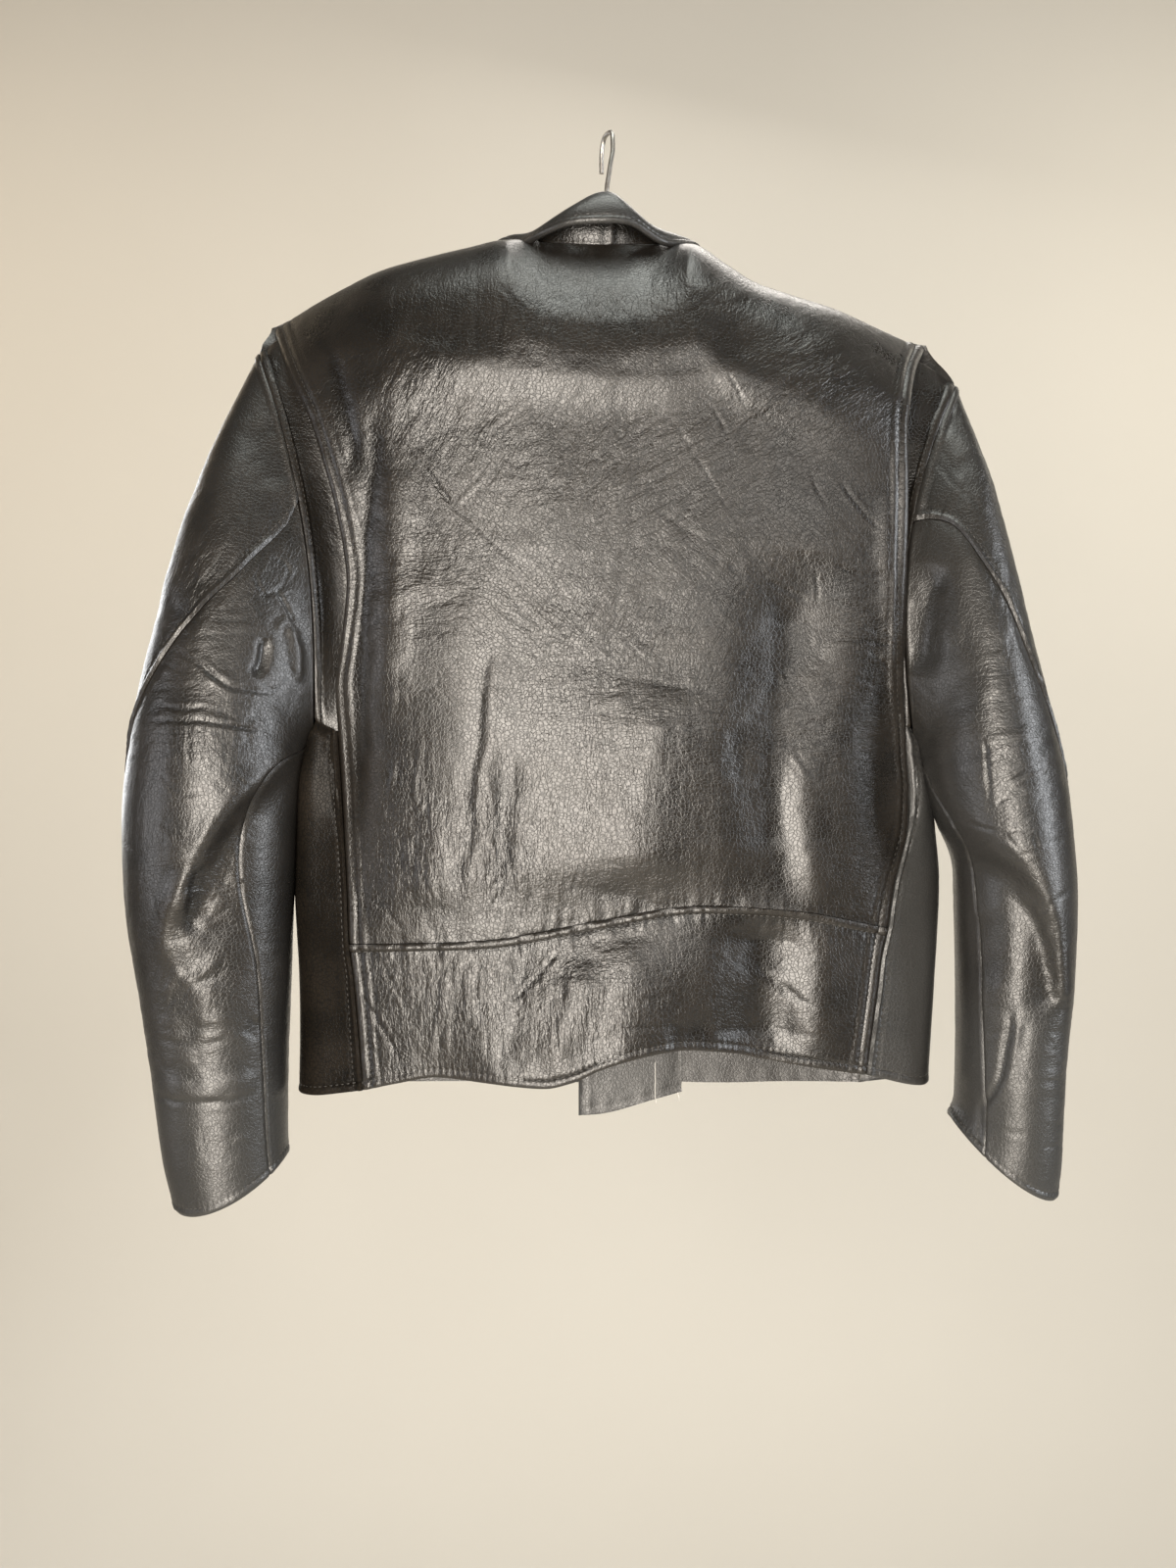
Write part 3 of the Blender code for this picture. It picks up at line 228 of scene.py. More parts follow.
# Ends of thread in their hanging places: one lies down the flap's step, one starts in the flap's right corner.
LOOSE_THREADS = [
    [(0.0348, -0.0163, -0.6880), (0.0350, -0.0166, -0.7000), (0.0347, -0.0169, -0.7100), (0.0350, -0.0173, -0.7145),
     (0.0356, -0.0174, -0.7180)],
    [(0.0510, -0.0146, -0.7092), (0.0522, -0.0148, -0.7130), (0.0529, -0.0150, -0.7165)],
]
FLOOR_Z, FLOOR_NEAR, FLOOR_HALF_WIDTH = -2.1, -3.0, 4
BACKDROP_TOP = 3.0
SWEEP_START, SWEEP_RADIUS = 1.8, 1.0
ROOM_COLOUR = (1.0, 0.93, 0.84, 1)
ROOM_STRENGTH = 0.07
# Name, place, target, size, colour and power.
LIGHTS = [
    ("window", (-0.45, -2.35, -0.75), (0, 0, -0.50), (0.92, 2.3), (1.0, 0.92, 0.82), 153),
    ("side_window", (2.25, -0.80, -0.1), (0.25, 0, -0.4), (0.85, 2.1), (0.93, 0.96, 1.0), 62),
    ("left_wall", (-2.2, -0.75, -0.5), (-0.25, 0, -0.5), (0.9, 1.5), (0.96, 0.96, 1.0), 15),
    ("sky", (0.1, -0.15, 1.3), (0, 0, -0.3), (1.2, 0.8), (0.95, 0.98, 0.92), 17),
    ("far_window", (0.80, -2.35, 0.20), (0.1, 0, -0.25), (0.6, 1.0), (1.0, 0.95, 0.88), 13),
    ("front_left", (-1.8, 1.9, 0.1), (0, 0, -0.45), (0.9, 1.4), (0.95, 0.97, 1.0), 20),
    ("front_above", (0.5, 2.1, 1.85), (0, 0, -0.45), (1.3, 0.8), (1.0, 0.95, 0.88), 20),
    ("backdrop_left", (-1.9, 1.3, 1.0), (-1.0, 2.8, -0.6), (1.6, 1.0), (1.0, 0.80, 0.55), 11),
    ("backdrop_right", (1.9, 1.3, 1.0), (1.0, 2.8, -0.6), (1.6, 1.0), (1.0, 0.93, 0.80), 18),
]

# Borders by kind: height in mm at distances in mm from the border, stitch rows, pucker, gathers and their reach.
PROFILES = {
    "turned": ([(0, -1.0), (0.8, 0.0), (3.5, 0.75), (6, 0.35), (7.5, -0.8), (9, 0.15), (11.5, 0.45), (13.5, 0.1),
                (14.5, -0.4), (16, 0)], [7.5], 0.22, 0.25, 9),
    "tucked": ([(0, -0.9), (3, -0.5), (8, 0)], [], 0, 0.55, 11),
    "gathered": ([(0, 0.7), (0.8, 1.3), (3, 1.5), (4.6, 0.9), (5.4, -0.5), (7, -0.2), (10, 0)], [5.4], 0.2, 0.9, 12),
    "hem": ([(0, -0.8), (0.8, 0.2), (3, 0.5), (5, 0.25), (6, -0.6), (7.5, 0.1), (10, 0)], [6], 0.28, 0.35, 9),
    "piped": ([(0, -0.2), (0.7, 1.1), (2, 1.5), (3.4, 1.0), (4.3, -0.3), (5, 0.2), (6.3, -0.6), (7.6, 0.15), (10, 0)],
              [6.3], 0.25, 0.55, 13),
    "strip": ([(0, 0.2), (0.6, 0.8), (3, 1.0), (5.4, 0.8), (6.2, -0.4), (8, 0)], [4.2], 0.15, 0.3, 9),
    "seam": ([(0, -1.0), (0.8, -0.35), (2.2, 0.25), (4, 0)], [], 0.0, 0.3, 8),
    "sunk": ([(0, -1.1), (3, -0.7), (9, 0)], [], 0.0, 0.45, 10),
    "rolled": ([(0, -1.1), (0.8, 0.2), (2.4, 1.0), (4.4, 0.5), (5.6, -0.4), (7, 0)], [5.6], 0.15, 0.2, 8),
    "plain": ([(0, -0.6), (1, 0)], [], 0.0, 0, 1),
}
# A panel's borders: its first column (left), last column (right), first row (start) and last row (end).
BORDERS = ("left", "right", "start", "end")
EDGES = {
    "back_panel": ("turned", "turned", "tucked", "seam"),
    "back_waistband": ("turned", "turned", "hem", "gathered"),
    "underlap": ("hem", "plain", "hem", "plain"),
    "collar_stand": ("plain", "plain", "seam", "plain"),
    "collar_fall": ("hem", "hem", "plain", "rolled"),
}
for hand in ("left", "right"):
    EDGES[f"side_panel_{hand}"] = ("piped", "seam", "hem", "sunk")
    EDGES[f"gusset_{hand}"] = ("strip", "plain", "seam", "seam")
    EDGES[f"sleeve_{hand}_under"] = ("seam", "sunk", "seam", "hem")
    EDGES[f"sleeve_{hand}_upper"] = ("piped", "seam", "strip", "hem")
    EDGES[f"front_{hand}"] = ("seam", "turned", "hem", "seam")
    EDGES[f"lapel_{hand}"] = ("plain", "hem", "plain", "hem")

# Creases seen from behind: kind, width and height in mm, and where they run, across and up in mm.
BACK_CREASES = [
    ("step", 16, -2.2, [(-201, -153), (-152, -165), (-99, -175), (-40, -187), (27, -192), (94, -183), (148, -168)]),
    ("ridge", 6, 0.8, [(54, -133), (81, -136), (104, -138)]),
    ("ridge", 2.2, 0.8, [(66, -255), (81, -242), (94, -224), (118, -211), (146, -198), (165, -189), (195, -176)]),
    ("line", 1.5, -0.7, [(64, -208), (75, -220), (85, -240)]),
    ("line", 1.4, -0.6, [(83, -191), (89, -203), (94, -214)]),
    ("line", 1.6, -0.5, [(44, -222), (57, -242), (69, -262), (81, -282), (94, -298)]),
    ("line", 1.6, -0.6, [(33, -284), (53, -298), (69, -307)]),
    ("line", 1.6, -0.5, [(138, -258), (146, -276), (153, -285)]),
    ("line", 1.8, -0.8, [(159, -265), (176, -288), (190, -301)]),
    ("line", 1.8, -1.0, [(-157, -227), (-130, -250), (-105, -282), (-92, -293), (-72, -313), (-62, -320)]),
    ("line", 1.5, -0.6, [(-131, -242), (-105, -257)]),
    ("ridge", 1.8, 0.5, [(-103, -282), (-81, -260)]),
    ("line", 1.6, -0.6, [(-149, -181), (-133, -197)]),
    ("ridge", 1.8, 0.6, [(-89, -235), (-62, -216), (-51, -208)]),
    ("line", 1.6, -0.5, [(-74, -132), (-52, -153)]),
    ("ridge", 1.5, 0.5, [(-64, -162), (-51, -154)]),
    ("step", 7, 1.6, [(-72, -373), (-79, -391), (-83, -420), (-84, -446), (-88, -463), (-92, -484), (-90, -504),
                      (-94, -521), (-99, -549)]),
    ("ridge", 1.8, 0.8, [(-90, -507), (-79, -515), (-76, -528), (-81, -544)]),
    ("line", 1.6, -0.7, [(-28, -325), (-33, -336), (-44, -354), (-52, -363)]),
    ("line", 1.5, -0.5, [(-105, -302), (-103, -331), (-81, -340)]),
    ("ridge", 1.8, 0.7, [(-144, -406), (-147, -428)]),
    ("ridge", 1.6, 0.6, [(-139, -410), (-135, -424)]),
    ("ridge", 1.8, 0.7, [(-121, -478), (-119, -497)]),
    ("ridge", 1.6, 0.6, [(-131, -494), (-121, -481)]),
    ("ridge", 1.8, 0.7, [(-144, -452), (-149, -485)]),
    ("ridge", 1.8, 0.7, [(-126, -440), (-131, -478), (-129, -492)]),
    ("line", 1.8, -0.9, [(-167, -547), (-151, -558), (-139, -573)]),
    ("line", 1.6, -0.6, [(-129, -528), (-117, -555)]),
    ("line", 1.8, -0.8, [(-62, -502), (-54, -519), (-72, -544), (-81, -562)]),
    ("line", 1.6, -0.5, [(-13, -481), (-15, -504), (-20, -535), (-24, -549)]),
    ("line", 2.0, -1.0, [(109, -333), (128, -341), (143, -349)]),
    ("line", 1.5, -0.6, [(143, -322), (146, -349)]),
    ("line", 1.6, -0.8, [(152, -320), (168, -328), (188, -331)]),
    ("line", 1.8, -0.7, [(154, -346), (170, -352), (188, -357)]),
    ("line", 2.0, -0.9, [(155, -373), (175, -375), (200, -379)]),
    ("line", 1.8, -0.7, [(164, -363), (182, -367), (200, -375)]),
    ("line", 1.8, -0.8, [(178, -379), (194, -395), (200, -401)]),
    ("line", 1.8, -0.7, [(168, -399), (186, -406), (202, -415)]),
    ("ridge", 1.8, 0.6, [(118, -393), (125, -402)]),
    ("line", 1.6, -0.5, [(62, -422), (82, -422), (94, -434)]),
    ("fold", 30, -9.5, [(136, -312), (127, -372), (119, -446), (118, -513), (114, -559)]),
    ("fold", 12, 2.6, [(133, -446), (136, -486), (138, -519), (145, -556)]),
    ("fold", 10, -1.5, [(91, -432), (89, -472)]),
    ("ridge", 2.2, 1.0, [(128, -451), (138, -468)]),
    ("fold", 7, 2.2, [(192, -272), (193, -339), (197, -406), (200, -472), (196, -519)]),
    ("fold", 8, -2.4, [(-157, -205), (-165, -312), (-168, -406), (-171, -506)]),
    ("fold", 14, 2.5, [(-147, -258), (-144, -339), (-149, -419)]),
    ("fold", 26, -1.6, [(-40, -312), (-50, -406), (-66, -506)]),
    ("fold", 9, -2.0, [(-66, -446), (-72, -506), (-76, -556)]),
    ("fold", 14, 1.6, [(-113, -486), (-120, -556)]),
    ("fold", 36, 4.5, [(41, -406), (24, -506), (14, -549)]),
    ("fold", 6, -2.0, [(-193, -168), (-179, -218), (-171, -272)]),
    ("fold", 5, 1.2, [(-214, -168), (-196, -218), (-187, -272)]),
    ("fold", 10, 0.9, [(-113, -332), (-160, -352)]),
]
BAND_CREASES = [
    ("fold", 28, -9, [(112, -559), (109, -606), (106, -663)]),
    ("fold", 15, 2.6, [(146, -563), (142, -606), (138, -660)]),
    ("line", 4, -1.0, [(104, -596), (121, -613), (141, -626)]),
    ("fold", 12, -2.2, [(-53, -579), (-63, -623), (-72, -670)]),
    ("line", 2, -0.8, [(-93, -589), (-80, -606), (-69, -624)]),
    ("line", 2.4, -1.2, [(-30, -583), (-50, -606), (-69, -624)]),
    ("fold", 13, 2.4, [(-13, -593), (-25, -633), (-40, -670)]),
    ("fold", 20, 1.6, [(14, -579), (14, -626), (27, -663)]),
    ("line", 1.8, -0.9, [(-169, -614), (-153, -640), (-141, -663)]),
    ("line", 1.6, -0.5, [(-157, -589), (-133, -633)]),
    ("line", 2, -0.8, [(-36, -626), (-33, -660)]),
    ("ridge", 2.4, 0.8, [(-109, -599), (-115, -633), (-120, -656)]),
    ("ridge", 2.0, 0.6, [(-100, -583), (-105, -613)]),
    ("line", 2, -0.4, [(-20, -653), (14, -640), (54, -636)]),
    ("fold", 10, -1.5, [(41, -646), (74, -640)]),
]
FRONT_CREASES = [
    ("fold", 9, -3.7, [(-192, -420), (-150, -462), (-92, -488)]),
    ("fold", 7, -2.7, [(-196, -446), (-166, -486), (-128, -512)]),
    ("fold", 24, 5.1, [(-112, -330), (-122, -470), (-106, -630)]),
    ("fold", 15, -4.1, [(-62, -380), (-68, -510), (-58, -640)]),
    ("fold", 14, -3.4, [(-190, -190), (-152, -232), (-112, -292)]),
    ("fold", 24, 5.1, [(122, -320), (134, -460), (118, -630)]),
    ("fold", 14, -4.1, [(84, -400), (90, -530), (82, -640)]),
    ("fold", 13, -3.4, [(196, -196), (160, -242), (122, -300)]),
    ("fold", 9, -3.4, [(196, -426), (158, -466), (108, -486)]),
    ("line", 2.4, -1.7, [(-180, -548), (-132, -562), (-82, -556)]),
    ("line", 2.0, -1.4, [(-170, -574), (-140, -584), (-108, -582)]),
    ("line", 2.4, -1.7, [(176, -540), (128, -556), (76, -550)]),
    ("line", 2.0, -1.4, [(160, -570), (126, -580), (92, -576)]),
    ("ridge", 3.0, 1.4, [(-150, -350), (-122, -372), (-100, -402)]),
    ("ridge", 3.0, 1.4, [(150, -340), (122, -366), (98, -392)]),
]
SLEEVE_LEFT_CREASES = [
    ("line", 1.6, -0.9, [(-228, -317), (-217, -326), (-226, -344)]),
    ("line", 1.6, -0.8, [(-233, -319), (-240, -331), (-233, -344)]),
    ("line", 1.6, -0.9, [(-233, -344), (-219, -337), (-208, -323)]),
    ("line", 1.6, -0.7, [(-226, -339), (-239, -347), (-247, -353)]),
    ("line", 1.8, -1.0, [(-226, -339), (-218, -353), (-212, -365)]),
    ("fold", 4.5, -3.0, [(-233, -372), (-235, -387), (-239, -400)]),
    ("ridge", 3.0, 1.6, [(-226, -367), (-216, -358)]),
    ("fold", 4.0, 2.0, [(-216, -360), (-212, -382), (-210, -403)]),
    ("line", 2.6, -1.6, [(-294, -381), (-280, -389), (-266, -400), (-251, -407), (-233, -410), (-216, -403)]),
    ("line", 1.8, -0.7, [(-306, -390), (-290, -395)]),
    ("line", 2.0, -0.9, [(-310, -419), (-290, -421), (-270, -420)]),
    ("line", 2.2, -1.1, [(-319, -430), (-282, -429), (-251, -434), (-230, -437)]),
    ("line", 1.8, -0.7, [(-323, -453), (-302, -455)]),
    ("line", 2.0, -0.9, [(-307, -464), (-288, -480), (-275, -478)]),
    ("ridge", 1.8, 0.7, [(-311, -496), (-286, -523)]),
    ("fold", 6, 1.5, [(-214, -446), (-232, -464), (-257, -486), (-273, -509), (-280, -524)]),
    ("fold", 6, 2.4, [(-285, -527), (-292, -545), (-300, -563), (-301, -586), (-296, -597)]),
    ("fold", 6, -2.2, [(-277, -527), (-281, -545), (-283, -563), (-281, -578)]),
    ("fold", 9, 1.6, [(-263, -539), (-268, -556), (-277, -573)]),
    ("ridge", 4.0, 1.8, [(-298, -597), (-286, -606), (-273, -599), (-264, -593)]),
    ("fold", 10, -1.6, [(-296, -612), (-288, -633), (-287, -653)]),
    ("fold", 12, 1.5, [(-270, -606), (-272, -640)]),
    ("line", 3.0, -1.6, [(-307, -685), (-284, -690), (-262, -689), (-237, -683)]),
    ("fold", 6, 1.6, [(-307, -677), (-280, -682), (-239, -673)]),
    ("line", 3, -0.9, [(-307, -646), (-280, -652), (-255, -644)]),
    ("line", 1.8, -0.8, [(-252, -553), (-266, -562), (-275, -570)]),
    ("ridge", 3, 1.0, [(-255, -717), (-243, -712)]),
    ("fold", 6, -1.2, [(-247, -646), (-239, -633)]),
    ("fold", 22, 1.5, [(-287, -272), (-300, -352)]),
    ("fold", 14, -1.5, [(-239, -225), (-227, -272)]),
]
SLEEVE_RIGHT_CREASES = [
    ("line", 2.0, -1.0, [(218, -245), (229, -258), (241, -272), (252, -281), (256, -290)]),
    ("fold", 8, 1.2, [(228, -232), (245, -252)]),
    ("fold", 11, -4.0, [(225, -322), (218, -359), (213, -399)]),
    ("line", 2.0, -0.9, [(257, -439), (260, -463), (261, -492), (260, -501)]),
    ("line", 2.0, -0.9, [(245, -498), (270, -505), (285, -503)]),
    ("line", 2.0, -0.9, [(272, -508), (285, -521)]),
    ("line", 2.4, -1.1, [(277, -525), (299, -515), (312, -508)]),
    ("line", 1.8, -0.8, [(292, -507), (296, -523)]),
    ("line", 2.0, -0.8, [(272, -472), (299, -459)]),
    ("ridge", 2.4, 0.8, [(268, -514), (288, -518), (305, -511)]),
    ("line", 2.4, -1.2, [(296, -561), (305, -552), (316, -545)]),
    ("ridge", 4, 1.5, [(281, -543), (296, -563), (303, -579)]),
    ("fold", 3.0, -1.6, [(275, -625), (271, -658), (265, -680), (255, -698), (255, -723)]),
    ("ridge", 4.0, 1.1, [(281, -630), (277, -660), (271, -681)]),
    ("line", 1.8, -0.8, [(281, -660), (290, -674)]),
    ("line", 3, -0.7, [(270, -709), (285, -712)]),
    ("line", 2, -0.8, [(299, -706), (312, -704)]),
    ("line", 2, -0.7, [(297, -721), (312, -718)]),
    ("fold", 16, -1.5, [(255, -559), (261, -613)]),
    ("fold", 16, 1.2, [(281, -432), (291, -472)]),
    ("ridge", 1.8, 0.6, [(264, -389), (271, -380)]),
]
# Patches of small wrinkles: which way they run, middle and reach in mm, and strength.
BACK_PATCHES = [
    ("up", (7, -153), (114, 28), 1.0),
    ("up", (-93, -513), (60, 50), 0.8),
    ("up", (-147, -365), (27, 100), 0.25),
    ("steep", (-113, -205), (64, 47), 0.9),
    ("steep", (-13, -258), (74, 47), 0.55),
    ("rise", (141, -205), (60, 47), 0.9),
    ("rise", (54, -272), (80, 60), 0.7),
    ("level", (-133, -339), (47, 43), 0.9),
    ("level", (184, -419), (30, 127), 0.8),
    ("fall", (-127, -285), (67, 60), 0.4),
    ("level", (21, -472), (80, 87), 0.55),
    ("up", (14, -472), (94, 94), 0.45),
    ("steep", (21, -365), (80, 60), 0.6),
    ("fall", (-40, -365), (80, 60), 0.35),
    ("level", (-140, -492), (40, 40), 0.35),
    ("up", (-133, -539), (54, 40), 0.4),
    ("steep", (54, -138), (74, 27), 0.5),
    ("level", (94, -426), (80, 54), 0.3),
    ("fall", (121, -312), (60, 47), 0.35),
]
BAND_PATCHES = [
    ("up", (-107, -613), (80, 60), 1.0),
    ("level", (0, -606), (40, 47), 0.5),
    ("up", (14, -633), (67, 40), 0.6),
    ("rise", (-13, -599), (40, 27), 0.4),
    ("up", (148, -579), (47, 20), 0.6),
    ("rise", (134, -620), (40, 33), 0.4),
    ("level", (54, -613), (40, 33), 0.3),
]
FRONT_PATCHES = [
    ("up", (-110, -540), (60, 90), 0.8),
    ("level", (-150, -330), (50, 60), 0.7),
    ("steep", (120, -520), (60, 90), 0.7),
    ("rise", (150, -300), (50, 60), 0.6),
    ("fall", (-60, -430), (50, 60), 0.4),
]
SLEEVE_LEFT_PATCHES = [
    ("steep", (-287, -332), (30, 30), 0.9),
    ("up", (-260, -436), (40, 40), 0.8),
    ("level", (-307, -432), (33, 54), 0.5),
    ("steep", (-237, -339), (27, 27), 0.5),
    ("fall", (-247, -466), (33, 30), 0.4),
    ("level", (-264, -539), (23, 27), 0.9),
    ("level", (-290, -559), (15, 47), 0.8),
    ("steep", (-274, -613), (27, 27), 0.8),
    ("level", (-280, -653), (40, 30), 0.8),
    ("up", (-314, -506), (17, 100), 0.3),
    ("fall", (-224, -419), (20, 27), 0.5),
]
SLEEVE_RIGHT_PATCHES = [
    ("steep", (255, -258), (20, 40), 0.6),
    ("up", (278, -365), (20, 40), 0.5),
    ("level", (281, -419), (33, 40), 0.6),
    ("fall", (255, -466), (40, 40), 0.5),
    ("rise", (288, -472), (33, 47), 0.7),
    ("level", (305, -620), (9, 107), 0.8),
    ("level", (228, -432), (20, 40), 0.4),
    ("fall", (288, -539), (27, 27), 0.6),
]
CREASES = {
    "collar_stand": [("ridge", 3.0, 1.6, [(3.5, -84), (3.5, -106)])],
    "back_panel": BACK_CREASES,
    "back_waistband": BAND_CREASES,
}
PATCHES = {"back_panel": BACK_PATCHES, "back_waistband": BAND_PATCHES}
for hand, creases, patches in (("left", SLEEVE_LEFT_CREASES, SLEEVE_LEFT_PATCHES),
                               ("right", SLEEVE_RIGHT_CREASES, SLEEVE_RIGHT_PATCHES)):
    CREASES[f"front_{hand}"], PATCHES[f"front_{hand}"] = FRONT_CREASES, FRONT_PATCHES
    for part in ("under", "upper"):
        CREASES[f"sleeve_{hand}_{part}"], PATCHES[f"sleeve_{hand}_{part}"] = creases, patches

# How far a panel's black is lightened to grey, partly real fade and partly painted light: the right-hand panels and the
# collar get more of it as painted light where light falls; and the panel under the left arm, which gets a copy of the
# leather with little shine as painted shade.
FADED_AND_PAINTED_LIGHT = {
    "collar_fall": 0.45, "side_panel_right": 0.7, "underlap": 0.85, "front_right": 0.35, "front_left": 0.3,
    "sleeve_left_upper": 0.15, "sleeve_left_under": 0.15, "sleeve_right_upper": 0.40, "sleeve_right_under": 0.35,
}
# Painted shade: panels that get the shaded copy of the leather with little shine.
PAINTED_SHADE_PANELS = ["side_panel_left"]


def smooth(knots, at):
    """The smooth curve through (place, value) knots, at the places given."""
    places = np.array([k[0] for k in knots], float)
    values = np.array([k[1] for k in knots], float)
    slopes = calm_slopes(places, values)
    at = np.clip(np.asarray(at, float), places[0], places[-1])
    i = np.clip(np.searchsorted(places, at, side="right") - 1, 0, len(places) - 2)
    step = places[i + 1] - places[i]
    u = (at - places[i]) / step
    if values.ndim > 1:
        step, u = step[..., None], u[..., None]
    return (
        (2 * u**3 - 3 * u**2 + 1) * values[i]
        + (u**3 - 2 * u**2 + u) * step * slopes[i]
        + (3 * u**2 - 2 * u**3) * values[i + 1]
        + (u**3 - u**2) * step * slopes[i + 1]
    )


def calm_slopes(places, values):
    """Slopes at the knots that let the curve rise and fall only where its knots do."""
    step = np.diff(places).reshape((-1,) + (1,) * (values.ndim - 1))
    secant = np.diff(values, axis=0) / step
    before, after = secant[:-1], secant[1:]
    near, far = 2 * step[1:] + step[:-1], step[1:] + 2 * step[:-1]
    same = before * after > 0
    safe_before, safe_after = np.where(same, before, 1), np.where(same, after, 1)
    middle = np.where(same, (near + far) / (near / safe_before + far / safe_after), 0)
    return np.concatenate([secant[:1], middle, secant[-1:]])


def running_length(points):
    """How far along a line of points each of them is."""
    return np.concatenate([[0], np.cumsum(np.linalg.norm(np.diff(points, axis=0), axis=1))])


def length_places(points):
    """How far along a line of points each of them is, from 0 to 1."""
    length = running_length(points)
    return length / length[-1]


def values_at(at, steps, values):
    """Points or directions between those given, at places along their steps."""
    return np.stack([np.interp(at, steps, values[:, k]) for k in range(3)], -1)


def through(points):
    """A curve through points, as a function of 0 to 1 by length along it."""
    points = np.array(points, float)
    knots = list(zip(length_places(points), points))
    return lambda s: smooth(knots, s)


def back_point(across, up):
    """The back's outer face. across runs 0 to 1 from left to right, up as the lists above."""
    across, up = np.broadcast_arrays(np.asarray(across, float), np.asarray(up, float))
    x = (1 - across) * smooth(BACK_LEFT_X, up) + across * smooth(BACK_RIGHT_X, up)
    tip_left, tip_right = BACK_LEFT_X[-1][1], BACK_RIGHT_X[-1][1]
    top_x = (1 - across) * tip_left + across * tip_right
    waist = smooth(WAIST_SEAM_Z, across)
    above = np.clip(up, 0, 1)
    below = np.clip(-up, 0, 1)
    z = waist + above * (smooth(SHOULDER_LINE, top_x) - waist) + below * (smooth(BACK_HEM_Z, across) - waist)
    fullness = 1 - np.abs(2 * across - 1) ** BACK_ROUNDNESS
    edge_depth = (1 - across) * smooth(BACK_LEFT_DEPTH, up) + across * smooth(BACK_RIGHT_DEPTH, up)
    depth = edge_depth + fullness * (smooth(BACK_MIDDLE_DEPTH, up) - edge_depth)
    depth = depth - smooth(HEM_WAVE, across) * below
    depth = depth + UPPER_BACK_FOLD * fullness * np.exp(-(((up - 0.80) / 0.05) ** 2))
    near = np.clip((1 - up) / SHOULDER_ROUNDING, 0, 1)
    over_hanger = np.sqrt(np.clip(1 - (1 - near) ** 2, 0, 1))
    at_neck = 1 - (1 - near) ** 1.6
    neck = smooth(NECK_DEPTH, top_x)
    share = np.clip(neck / 0.030, 0, 1)
    rounding = share * at_neck + (1 - share) * over_hanger
    depth = neck + (depth - neck) * rounding
    return np.stack([x, -depth, z], -1)


def sleeve_point(side, turn, along):
    """A sleeve's outer face. turn is 0 at the outer edge, -90 facing back and 180 inside; along is 0 to 1."""
    turn, along = np.broadcast_arrays(np.asarray(turn, float), np.asarray(along, float))
    outer, inner = smooth(side["outer"], along), smooth(side["inner"], along)
    depths = smooth(side["depths"], along)
    angle = np.radians(turn)
    back = np.sin(angle) < 0
    depth = np.where(back, depths[..., 0], depths[..., 1])
    point = (outer + inner) / 2 + np.cos(angle)[..., None] * (outer - inner) / 2
    point[..., 1] += np.sin(angle) * depth
    inset = side["ring_inset"] * np.clip(1 - along / 0.25, 0, 1) ** 2
    point[..., 0] += side["inward"] * inset * np.sin(angle) ** 2
    facing = np.clip(-np.sin(angle), 0, 1) ** 0.7
    point[..., 2] -= side["cuff_drop"] * facing**2 * np.clip((along - 0.6) / 0.4, 0, 1) ** 2
    point[..., 1] -= facing * elbow_fold(side, point) * np.clip(along / 0.2, 0, 1)
    return point


def elbow_fold(side, point):
    """How far the sleeve swells above its elbow fold, or sinks below it."""
    line = through([(x, 0.0, z) for x, z in side["elbow_fold"]])(np.linspace(0, 1, 80))
    flat = point[..., None, [0, 2]] - line[:, [0, 2]]
    distance = np.linalg.norm(flat, axis=-1)
    nearest = distance.argmin(-1)
    gap = distance.min(-1)
    tangent = np.gradient(line[:, [0, 2]], axis=0)
    tangent /= np.linalg.norm(tangent, axis=1)[:, None]
    away = np.take_along_axis(flat, nearest[..., None, None], -2)[..., 0, :]
    t = tangent[nearest]
    aside = (t[..., 0] * away[..., 1] - t[..., 1] * away[..., 0]) * -side["inward"]
    beyond = np.abs((t * away).sum(-1))
    step = np.tanh(aside / (ELBOW_SOFTNESS + beyond))
    return np.where(step > 0, ELBOW_BULGE, ELBOW_DENT) * step * np.exp(-gap / ELBOW_REACH)


def ring(side, turn):
    """The armhole seam, where the sleeve starts."""
    return sleeve_point(side, turn, 0.0)


def coons(bottom, top, left, right):
    """The grid between four borders of points that meet at their ends."""
    u = (length_places(bottom) + length_places(top))[None, :, None] / 2
    v = (length_places(left) + length_places(right))[:, None, None] / 2
    across = (1 - v) * bottom[None] + v * top[None]
    upward = (1 - u) * left[:, None] + u * right[:, None]
    corners = (1 - u) * (1 - v) * bottom[0] + u * (1 - v) * bottom[-1] + (1 - u) * v * top[0] + u * v * top[-1]
    return across + upward - corners


def back_facing(across, up):
    """The back's outward normals."""
    small = 0.002
    sideways = back_point(across + small, up) - back_point(across - small, up)
    upward = back_point(across, up + small) - back_point(across, up - small)
    normal = np.cross(sideways, upward)
    return normal / np.linalg.norm(normal, axis=-1, keepdims=True)


def side_up():
    return np.concatenate([BAND_UP, BACK_UP[1:list(BACK_UP).index(ARM_PLACE) + 1]])


def under_arm(side):
    """The top border of the panel under the arm: back edge to armhole seam, and along that."""
    start = back_point(side["edge"], ARM_PLACE)
    seam = ring(side, np.array([GUSSET_TURN, -169, -178, -197, -360 + FRONT_SIDE_TURN]))
    between = [start + (seam[0] - start) * share for share in (0, 0.35, 0.70)]
    return np.concatenate([between, seam])


def side_front_seam(side):
    """The seam of the side panel and the front, hem to armhole."""
    line = through([*side["front_seam"], ring(side, FRONT_SIDE_TURN)])
    up = side_up()
    return line((up - up[0]) / (up[-1] - up[0]))


